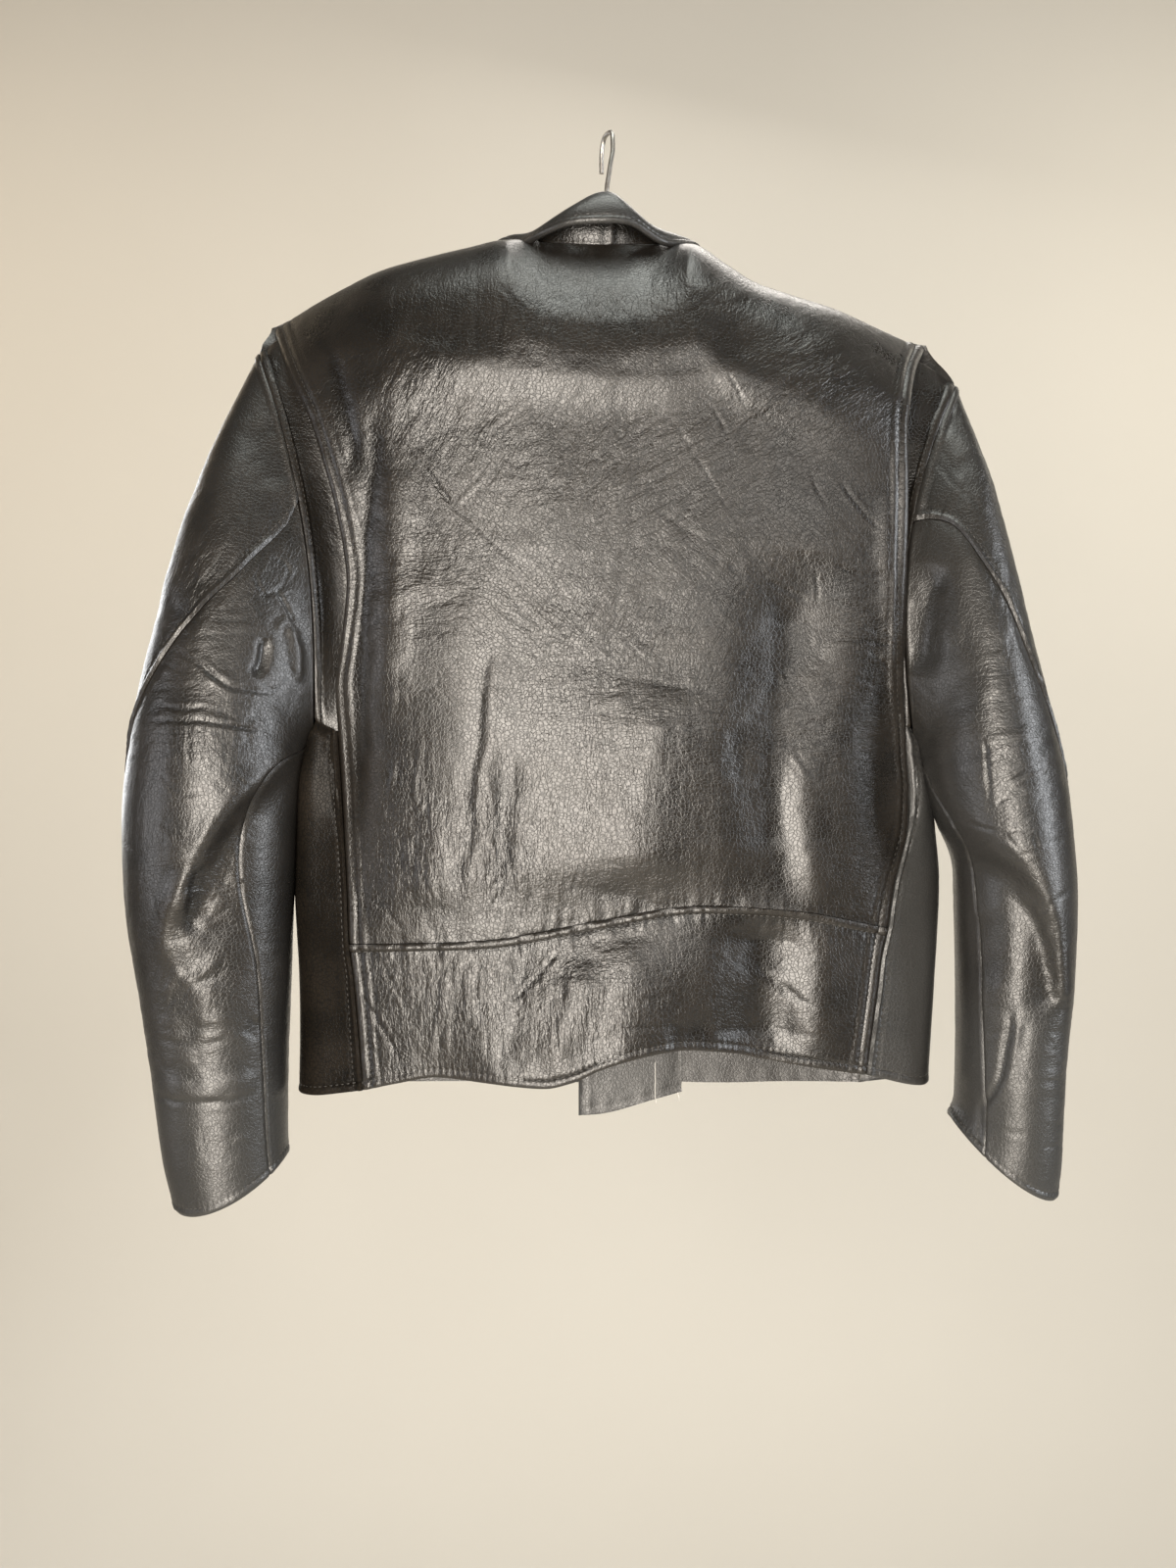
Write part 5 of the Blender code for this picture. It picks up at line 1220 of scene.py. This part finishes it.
def leather_material(name, shine):
    """Worn black leather: pebbled grain with painted shade in its grooves, fine wrinkles drawn out along the pull,
    rubbed grey-brown high spots, and a grey that is partly real fade and partly painted light.
    """
    made, tree, shader, place = start_material(name)
    drift = noise_at(tree, place, 0.009, 2.0).outputs["Color"]
    drift = node(tree, "ShaderNodeVectorMath", drift, (0.5, 0.5, 0.5), operation="SUBTRACT").outputs[0]
    drift = node(tree, "ShaderNodeVectorMath", drift, (0.004, 0.004, 0.004), operation="MULTIPLY").outputs[0]
    warped = node(tree, "ShaderNodeVectorMath", place, drift, operation="ADD").outputs[0]
    cells = node(tree, "ShaderNodeTexVoronoi", warped, None, 1 / GRAIN_SIZE, feature="DISTANCE_TO_EDGE")
    pebble = spread(tree, cells.outputs["Distance"], 0.0, 0.15)
    fine = noise_at(tree, place, 0.0011, 3.0, 0.6).outputs[0]
    patchy = noise_at(tree, place, 0.035, 3.0, 0.55).outputs[0]
    cloudy = noise_at(tree, place, 0.120, 2.0, 0.5).outputs[0]
    wrinkles = []
    for number, (way, degrees) in enumerate(WAYS.items()):
        turned = node(tree, "ShaderNodeVectorRotate", warped, rotation_type="Y_AXIS")
        turned.inputs["Angle"].default_value = math.radians(degrees)
        drawn = node(tree, "ShaderNodeVectorMath", turned.outputs[0], (1 / 0.015, 1 / 0.015, 1 / 0.0034),
                     operation="MULTIPLY")
        shifted = node(tree, "ShaderNodeVectorMath", drawn.outputs[0], (17.0 * number, 0, 0), operation="ADD")
        ripple = node(tree, "ShaderNodeTexNoise", shifted.outputs[0], None, 1.0, 2.0, 0.55).outputs[0]
        valley = node(tree, "ShaderNodeMath", ripple, 0.5, operation="SUBTRACT").outputs[0]
        valley = node(tree, "ShaderNodeMath", valley, operation="ABSOLUTE").outputs[0]
        pads = spread(tree, valley, 0.0, 0.16)
        weight = node(tree, "ShaderNodeAttribute", attribute_name=way).outputs["Fac"]
        wrinkles.append(times(tree, pads, weight))
    wrinkled = sum_of(tree, *wrinkles)
    relief = sum_of(tree, times(tree, pebble, GRAIN_HEIGHT), times(tree, fine, FINE_HEIGHT),
                    times(tree, wrinkled, FINE_WRINKLE_HEIGHT), times(tree, patchy, 0.5))
    bump(tree, shader, relief)
    wear = node(tree, "ShaderNodeAttribute", attribute_name="wear").outputs["Fac"]
    rubbed = sum_of(tree, times(tree, wear, 0.55), times(tree, patchy, 0.45), times(tree, cloudy, 0.35),
                    times(tree, pebble, 0.12), times(tree, wrinkled, 0.10))
    rubbed = spread(tree, rubbed, 0.45, 1.05)
    colour = blended(tree, rubbed, DEEP_COLOUR, WORN_COLOUR)
    # Painted shade: the grain's grooves are darkened.
    painted_groove_share = spread(tree, pebble, 0.0, 1.0, 0.35, 1.0, False)
    colour = blended(tree, painted_groove_share, PAINTED_GROOVE_SHADE, colour)
    # Partly painted light: panels lightened towards grey by real fade and by painted light.
    faded_and_painted_light = node(tree, "ShaderNodeAttribute", attribute_name="faded_and_painted_light").outputs["Fac"]
    colour = blended(tree, faded_and_painted_light, colour, FADED_AND_PAINTED_LIGHT_COLOUR)
    tree.links.new(colour, shader.inputs["Base Color"])
    rough = sum_of(tree, times(tree, rubbed, 0.10), times(tree, patchy, 0.16), times(tree, fine, 0.08))
    rough = spread(tree, rough, 0.0, 0.34, LEATHER_ROUGHNESS[0], LEATHER_ROUGHNESS[1], False)
    open_top = node(tree, "ShaderNodeMath", 1.0, pebble, operation="SUBTRACT").outputs[0]
    rough = sum_of(tree, rough, times(tree, open_top, 0.12), times(tree, faded_and_painted_light, 0.08))
    tree.links.new(rough, shader.inputs["Roughness"])
    shader.inputs["Specular IOR Level"].default_value = shine
    return made


def thread_material():
    made, tree, shader, place = start_material("dark_thread")
    twist = noise_at(tree, place, 0.0006, 2.0).outputs[0]
    colour = blended(tree, twist, (0.010, 0.009, 0.008, 1), (0.040, 0.036, 0.031, 1))
    tree.links.new(colour, shader.inputs["Base Color"])
    bump(tree, shader, times(tree, twist, 0.12))
    shader.inputs["Roughness"].default_value = 0.6
    return made


def metal_material(name, bright, dull, size, roughness):
    """Plated metal with rubbed and tarnished places."""
    made, tree, shader, place = start_material(name)
    stain = noise_at(tree, place, size, 4.0, 0.6).outputs[0]
    share = spread(tree, stain, 0.35, 0.70)
    tree.links.new(blended(tree, share, bright, dull), shader.inputs["Base Color"])
    scratch = noise_at(tree, place, size / 6, 3.0).outputs[0]
    rough = sum_of(tree, times(tree, share, 0.25), times(tree, scratch, 0.12))
    rough = node(tree, "ShaderNodeMath", rough, roughness, operation="ADD").outputs[0]
    tree.links.new(rough, shader.inputs["Roughness"])
    bump(tree, shader, times(tree, scratch, 0.04))
    shader.inputs["Metallic"].default_value = 1.0
    return made


def wood_material():
    """Plain varnished wood with its grain along the bar."""
    made, tree, shader, place = start_material("varnished_wood")
    drawn = node(tree, "ShaderNodeVectorMath", place, (12.0, 160.0, 160.0), operation="MULTIPLY").outputs[0]
    rings = node(tree, "ShaderNodeTexNoise", drawn, None, 1.0, 4.0, 0.6).outputs[0]
    pores = noise_at(tree, place, 0.002, 2.0).outputs[0]
    share = spread(tree, rings, 0.35, 0.65)
    tree.links.new(blended(tree, share, (0.36, 0.21, 0.10, 1), (0.22, 0.11, 0.045, 1)), shader.inputs["Base Color"])
    rough = spread(tree, rings, 0.3, 0.7, 0.34, 0.50, False)
    tree.links.new(rough, shader.inputs["Roughness"])
    bump(tree, shader, sum_of(tree, times(tree, rings, 0.05), times(tree, pores, 0.03)))
    shader.inputs["Coat Weight"].default_value = 0.3
    shader.inputs["Coat Roughness"].default_value = 0.2
    return made


def tape_material():
    """The zip's woven tape."""
    made, tree, shader, place = start_material("zip_tape")
    weave = node(tree, "ShaderNodeTexWave", place, 900.0, 1.5, 1.0, wave_type="BANDS", bands_direction="Z").outputs[0]
    colour = blended(tree, weave, (0.008, 0.008, 0.009, 1), (0.030, 0.029, 0.028, 1))
    tree.links.new(colour, shader.inputs["Base Color"])
    bump(tree, shader, times(tree, weave, 0.12))
    shader.inputs["Roughness"].default_value = 0.8
    return made


def plaster_material(name, light, dark):
    """Smooth pale paint with the slightest unevenness, for the floor and backdrop."""
    made, tree, shader, place = start_material(name)
    cloud = noise_at(tree, place, 0.7, 2.0).outputs[0]
    tree.links.new(blended(tree, cloud, light, dark), shader.inputs["Base Color"])
    bump(tree, shader, times(tree, noise_at(tree, place, 0.01, 2.0).outputs[0], 0.05))
    shader.inputs["Roughness"].default_value = 0.85
    return made


def dense_back(low, high, rows):
    """The back's outer face from one height to another, with the neck points on grid lines."""
    left_tip, right_tip = BACK_LEFT_X[-1][1], BACK_RIGHT_X[-1][1]
    x = np.concatenate([np.linspace(left_tip, NECK_LEFT, 97), np.linspace(NECK_LEFT, NECK_RIGHT, 77)[1:],
                        np.linspace(NECK_RIGHT, right_tip, 97)[1:]])
    across = (x - left_tip) / (right_tip - left_tip)
    middle = np.array([0.15, 0.5, 0.8])
    up = even_places(lambda v: back_point(middle[None], v[:, None]), low, high, rows)
    return back_point(across[None], up[:, None])


def dense_sleeve(side, part, rows, columns):
    """One half of a sleeve, from the armhole to the cuff and from one of its seams to the other."""
    middle = np.array([-120.0, -30, 60])
    along = even_places(lambda v: sleeve_point(side, middle[None], v[:, None]), 0, 1, rows)[:, None]
    back_seam, inner_seam = smooth(side["back_seam"], along), smooth(side["inner_seam"], along)
    first, last = (inner_seam, back_seam) if part == "under" else (back_seam, inner_seam + 360)

    def across(share):
        levels = np.array([0.1, 0.5, 0.9])[None]
        a = smooth(side["back_seam"], levels)
        b = smooth(side["inner_seam"], levels)
        low, high = (b, a) if part == "under" else (a, b + 360)
        return sleeve_point(side, low + (high - low) * share[:, None], levels)

    place = even_places(across, 0, 1, columns)[None]
    grid = sleeve_point(side, first + (last - first) * place, along)
    inside = (smooth(side["outer"], along) + smooth(side["inner"], along)) / 2
    return grid, inside


def ring_faces(rows, sides):
    """The quads between rings of points, and the two faces that close the ends."""
    number = np.arange(rows * sides).reshape(rows, sides)
    ahead = np.roll(number, -1, axis=1)
    quads = np.stack([number[:-1], ahead[:-1], ahead[1:], number[1:]], -1).reshape(-1, 4)
    return quads, np.stack([number[0][::-1], number[-1]])


def tube(line, radius, sides):
    """A closed round tube along a line."""
    along = np.gradient(line, axis=0)
    along /= np.linalg.norm(along, axis=1)[:, None]
    start = np.cross(along, (0.0, 1.0, 0.0))
    start /= np.maximum(np.linalg.norm(start, axis=1)[:, None], 1e-9)
    other = np.cross(along, start)
    turns = np.linspace(0, 2 * np.pi, sides, endpoint=False)
    rings = line[:, None] + radius * (np.cos(turns)[:, None] * start[:, None] + np.sin(turns)[:, None] * other[:, None])
    return rings.reshape(-1, 3), *ring_faces(len(line), sides)


def hook():
    """The hanger's wire hook, finer than its solid."""
    line = through(HOOK_PATH)(np.linspace(0, 1, 90))
    points, quads, caps = tube(line - HANG, WIRE_RADIUS, 20)
    piece = mesh_piece("hanger_hook_wire", points, [quads, caps], steel)
    dress(piece, "jacket", "hanger_hook")


def loose_threads():
    """Ends of thread on the flap that shows below the back's hem."""
    parts = []
    for line in LOOSE_THREADS:
        points, *faces = tube(through(line)(np.linspace(0, 1, 12)) - HANG, LOOSE_THREAD_RADIUS, 6)
        parts.append((points, faces))
    piece = mesh_piece("loose_threads", *joined(parts), pale_thread)
    dress(piece, "jacket")


def box_array(seats, half_sizes, bevel):
    """Bevelled boxes at seats (place, across, down, out), as one set of points and quads."""
    bm = bmesh.new()
    bmesh.ops.create_cube(bm, size=2.0)
    for vert in bm.verts:
        vert.co = [c * h for c, h in zip(vert.co, half_sizes)]
    bmesh.ops.bevel(bm, geom=bm.edges, offset=bevel, segments=1, affect="EDGES")
    bm.verts.index_update()
    shape = np.array([v.co for v in bm.verts])
    faces = {}
    for face in bm.faces:
        faces.setdefault(len(face.verts), []).append([v.index for v in face.verts])
    bm.free()
    points, sets = [], {size: [] for size in faces}
    for number, (place, across, down, out) in enumerate(seats):
        points.append(place + shape[:, :1] * across + shape[:, 1:2] * down + shape[:, 2:] * out)
        for size, made in faces.items():
            sets[size].append(np.array(made) + number * len(shape))
    return np.concatenate(points), [np.concatenate(made) for made in sets.values()]


def zip_chain(name, line, across, out, half, lift):
    """A closed zip: its tape, and two rows of teeth that mesh along the middle."""
    steps = running_length(line)
    count = int(steps[-1] / TOOTH_PITCH)
    at = (np.arange(count) + 0.5) * steps[-1] / count
    place, side_way, out_way = (values_at(at, steps, v) for v in (line, across, out))
    down = np.gradient(place, axis=0)
    down /= np.linalg.norm(down, axis=1)[:, None]
    seats = []
    for n in range(count):
        shift = side_way[n] * TOOTH_OFFSET * (1 if n % 2 else -1)
        seats.append((place[n] + shift + out_way[n] * lift, side_way[n], down[n], out_way[n]))
    points, faces = box_array(seats, TOOTH_HALF, TOOTH_BEVEL)
    teeth = mesh_piece(name + "_teeth", points, faces, brass, sharp=30)
    edges = np.array([(-half, 0), (half, 0), (half, TAPE), (-half, TAPE)])
    rings = np.stack([line + across * a + out * (o + lift - TAPE - TAPE_DROP) for a, o in edges], 1)
    quads = np.concatenate(ring_faces(len(line), 4))
    woven = mesh_piece(name + "_tape", rings.reshape(-1, 3), [quads], tape)
    dress(teeth, "jacket", name + "_chain")
    dress(woven, "jacket")


def plated(name, outline, hole, depth, seat, centre):
    """A flat bevelled plate with a hole, cut from an outline in millimetres, seated in a frame."""
    curve = bpy.data.curves.new(name, "CURVE")
    curve.dimensions, curve.fill_mode = "2D", "BOTH"
    curve.extrude, curve.bevel_depth, curve.bevel_resolution = depth / 2 - 0.2, 0.2, 2
    for ring_points in (outline, hole):
        line = curve.splines.new("POLY")
        line.points.add(len(ring_points) - 1)
        line.use_cyclic_u = True
        for spot, (x, y) in zip(line.points, ring_points):
            spot.co = (x, y, 0, 1)
    holder = bpy.data.objects.new(name, curve)
    bpy.context.scene.collection.objects.link(holder)
    bpy.context.view_layer.update()
    mesh = bpy.data.meshes.new_from_object(holder.evaluated_get(bpy.context.evaluated_depsgraph_get()))
    bpy.data.objects.remove(holder)
    place = np.array([v.co for v in mesh.vertices]) + (0, 0, centre)
    faces = {}
    for face in mesh.polygons:
        faces.setdefault(len(face.vertices), []).append(list(face.vertices))
    bpy.data.meshes.remove(mesh)
    return seat(place), [np.array(f) for f in faces.values()]


def joined(parts):
    """Several sets of points and faces as one."""
    points, faces, count = [], [], 0
    for part_points, part_faces in parts:
        points.append(part_points)
        faces += [np.asarray(f) + count for f in part_faces]
        count += len(part_points)
    sizes = sorted({f.shape[1] for f in faces})
    return np.concatenate(points), [np.concatenate([f for f in faces if f.shape[1] == n]) for n in sizes]


def seated_boxes(seat, boxes, bevels):
    """Bevelled boxes given by their corners, seated in a frame."""
    parts = []
    for (low, high), bevel in zip(boxes, bevels):
        half = [(h - l) / 2 for l, h in zip(low, high)]
        middle = np.array([(h + l) / 2 for l, h in zip(low, high)])
        points, faces = box_array([(middle, *np.eye(3))], half, bevel)
        parts.append((seat(points), faces))
    return parts


def slider(name, point, down, out, size, pull_body):
    """A zip slider: rounded body with two lugs, and the pull with its slot, in the solids' places."""
    down, out = np.array(down, float), np.array(out, float)
    out -= down * out.dot(down)
    out /= np.linalg.norm(out)
    across = np.cross(down, out)

    def seat(place):
        return point + (place[:, :1] * across + place[:, 1:2] * down + place[:, 2:] * out) * size / 1000

    body = seated_boxes(seat, SLIDER_BOXES, (0.7, 0.4, 0.4))
    piece = mesh_piece(name + "_slider_body", *joined(body), brass, sharp=30)
    dress(piece, "jacket", name + "_slider")
    turns = np.linspace(0, 2 * np.pi, 28, endpoint=False)
    low, high = PULL_BOXES[2]
    half_width, half_length = high[0], (high[1] - low[1]) / 2
    middle = (high[1] + low[1]) / 2
    outline = [(half_width * np.sign(np.cos(t)) * abs(np.cos(t)) ** 0.5 * (0.86 + 0.14 * np.sin(t)),
                middle + half_length * np.sign(np.sin(t)) * abs(np.sin(t)) ** 0.6) for t in turns]
    hole = [(half_width * 0.45 * np.cos(t), middle + half_length * 0.45 + 3.2 * np.sin(t)) for t in turns]
    parts = [plated(name, outline, hole, high[2] - low[2], seat, (high[2] + low[2]) / 2)]
    parts += seated_boxes(seat, PULL_BOXES[:2], (0.3, 0.3))
    piece = mesh_piece(name + "_pull_tab", *joined(parts), brass, sharp=30)
    dress(piece, pull_body, name + "_pull")


def front_zip():
    foot, head = np.array(ZIP_FOOT), np.array(ZIP_HEAD)
    line = np.linspace(foot, head, 30) - (0, 0.0021, 0)
    ways = np.tile((1.0, 0, 0), (30, 1)), np.tile((0, 1.0, 0), (30, 1))
    zip_chain("front_zip", line, *ways, ZIP_HALF, 0.0016)
    slider("front_zip", head + (0, 0.0002, -0.008), (0, 0, -1), (0, 1, 0), 1.0, "front_pull")


def cuff_zip(side):
    """The short zip along a cuff's outer edge."""
    places = np.linspace(0.82, 0.985, 8)
    turn = side["cuff_zip_turn"]
    line = sleeve_point(side, turn, places)
    across = sleeve_point(side, turn + 6, places) - sleeve_point(side, turn - 6, places)
    across /= np.linalg.norm(across, axis=1)[:, None]
    out = np.cross(np.gradient(line, axis=0), across)
    middle = (smooth(side["outer"], places) + smooth(side["inner"], places)) / 2
    if (out * (line - middle)).sum() < 0:
        across = -across
        out = -out
    out /= np.linalg.norm(out, axis=1)[:, None]
    name = f"cuff_zip_{side['name']}"
    fine = np.linspace(0, 7, 40)
    fine_line, fine_across, fine_out = (values_at(fine, np.arange(8), v) for v in (line, across, out))
    zip_chain(name, fine_line, fine_across, fine_out, 0.0045, 0.0020)
    down = line[6] - line[4]
    slider(name, line[5] + out[5] * 0.0024, down / np.linalg.norm(down), out[5], 0.85, f"{side['name']}_cuff_pull")


def area_light(name, place, target, size, colour, power):
    light = bpy.data.lights.new(name, "AREA")
    light.shape, light.size, light.size_y = "RECTANGLE", size[0], size[1]
    light.color, light.energy = colour, power
    lamp = bpy.data.objects.new(name, light)
    lamp.location = place
    lamp.rotation_euler = (Vector(target) - Vector(place)).to_track_quat("-Z", "Y").to_euler()
    bpy.context.scene.collection.objects.link(lamp)


def studio():
    """A pale floor that sweeps up into a backdrop far behind, the lights, the room's own light and the camera."""
    depth = np.concatenate([[FLOOR_NEAR], np.linspace(-1.0, 1.6, 8),
                            SWEEP_START + SWEEP_RADIUS * np.sin(np.radians(np.arange(0, 91, 9)))])
    height = np.concatenate([np.full(9, FLOOR_Z),
                             FLOOR_Z + SWEEP_RADIUS * (1 - np.cos(np.radians(np.arange(0, 91, 9))))])
    depth = np.append(depth, depth[-1])
    height = np.append(height, BACKDROP_TOP)
    sides = np.linspace(-FLOOR_HALF_WIDTH, FLOOR_HALF_WIDTH, 9)
    points = np.stack(np.broadcast_arrays(sides[None], depth[:, None], height[:, None]), -1).reshape(-1, 3)
    floor = mesh_piece("floor_and_backdrop", points - HANG, [grid_quads(len(depth), len(sides))], pale)
    for name, place, target, size, colour, power in LIGHTS:
        area_light(name, place, target, size, colour, power)
    world = bpy.data.worlds.new("soft_room")
    bpy.context.scene.world = world
    world.use_nodes = True
    background = world.node_tree.nodes["Background"]
    background.inputs["Color"].default_value = ROOM_COLOUR
    background.inputs["Strength"].default_value = ROOM_STRENGTH
    camera = bpy.data.objects.new("camera", bpy.data.cameras.new("camera"))
    camera.data.lens, camera.data.sensor_width = 36, 36
    camera.location = CAMERA_PLACE
    camera.rotation_euler = (math.pi / 2, 0, 0)
    bpy.context.scene.collection.objects.link(camera)
    bpy.context.scene.camera = camera
    bpy.context.scene.view_settings.view_transform = "Standard"


def dressed_panels():
    """Every cut piece of leather."""
    leather_panel("back_panel", dense_back(0, 1, 281), (0, 0.3, -0.4))
    leather_panel("back_waistband", dense_back(-1, 0, 71), (0, 0.3, -0.6))
    leather_panel("underlap", refine(underlap(), 201, 49), (0, -0.3, -0.5))
    stand, fall = collar()
    leather_panel("collar_stand", refine(stand, 31, 221), (0, 0, -0.130))
    leather_panel("collar_fall", refine(fall, 41, 281), (0, 0, -0.130))
    for side in (LEFT, RIGHT):
        name = side["name"]
        leather_panel(f"side_panel_{name}", refine(side_panel(side), 221, 61), (0, -0.04, -0.55))
        leather_panel(f"gusset_{name}", refine(gusset(side), 141, 49), (0, 0.1, -0.3))
        for part, columns in (("under", 91), ("upper", 141)):
            leather_panel(f"sleeve_{name}_{part}", *dense_sleeve(side, part, 301, columns))
        leather_panel(f"front_{name}", refine(front(side), 241, 91), (0, -0.3, -0.4))
        leather_panel(f"lapel_{name}", refine(lapel(side), 101, 31), (0, -0.3, -0.3))


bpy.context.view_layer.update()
leather = leather_material("worn_black_leather", 0.5)
# Painted shade: a copy of the leather with little shine, for the panel under the left arm where shade falls.
painted_shade_leather = leather_material("painted_shade_black_leather", 0.06)
thread = thread_material()
pale_thread = plaster_material("pale_thread", (0.50, 0.49, 0.46, 1), (0.36, 0.35, 0.33, 1))
brass = metal_material("worn_nickel", (0.66, 0.62, 0.56, 1), (0.30, 0.26, 0.21, 1), 0.004, 0.22)
steel = metal_material("hook_wire_steel", (0.40, 0.385, 0.36, 1), (0.20, 0.18, 0.16, 1), 0.010, 0.26)
wood = wood_material()
tape = tape_material()
pale = plaster_material("pale_paint", (0.60, 0.575, 0.52, 1), (0.565, 0.54, 0.485, 1))

dressed_panels()
front_zip()
cuff_zip(LEFT)
cuff_zip(RIGHT)
hook()
loose_threads()
bpy.data.objects["hanger_bar"].material_slots[0].material = wood
studio()
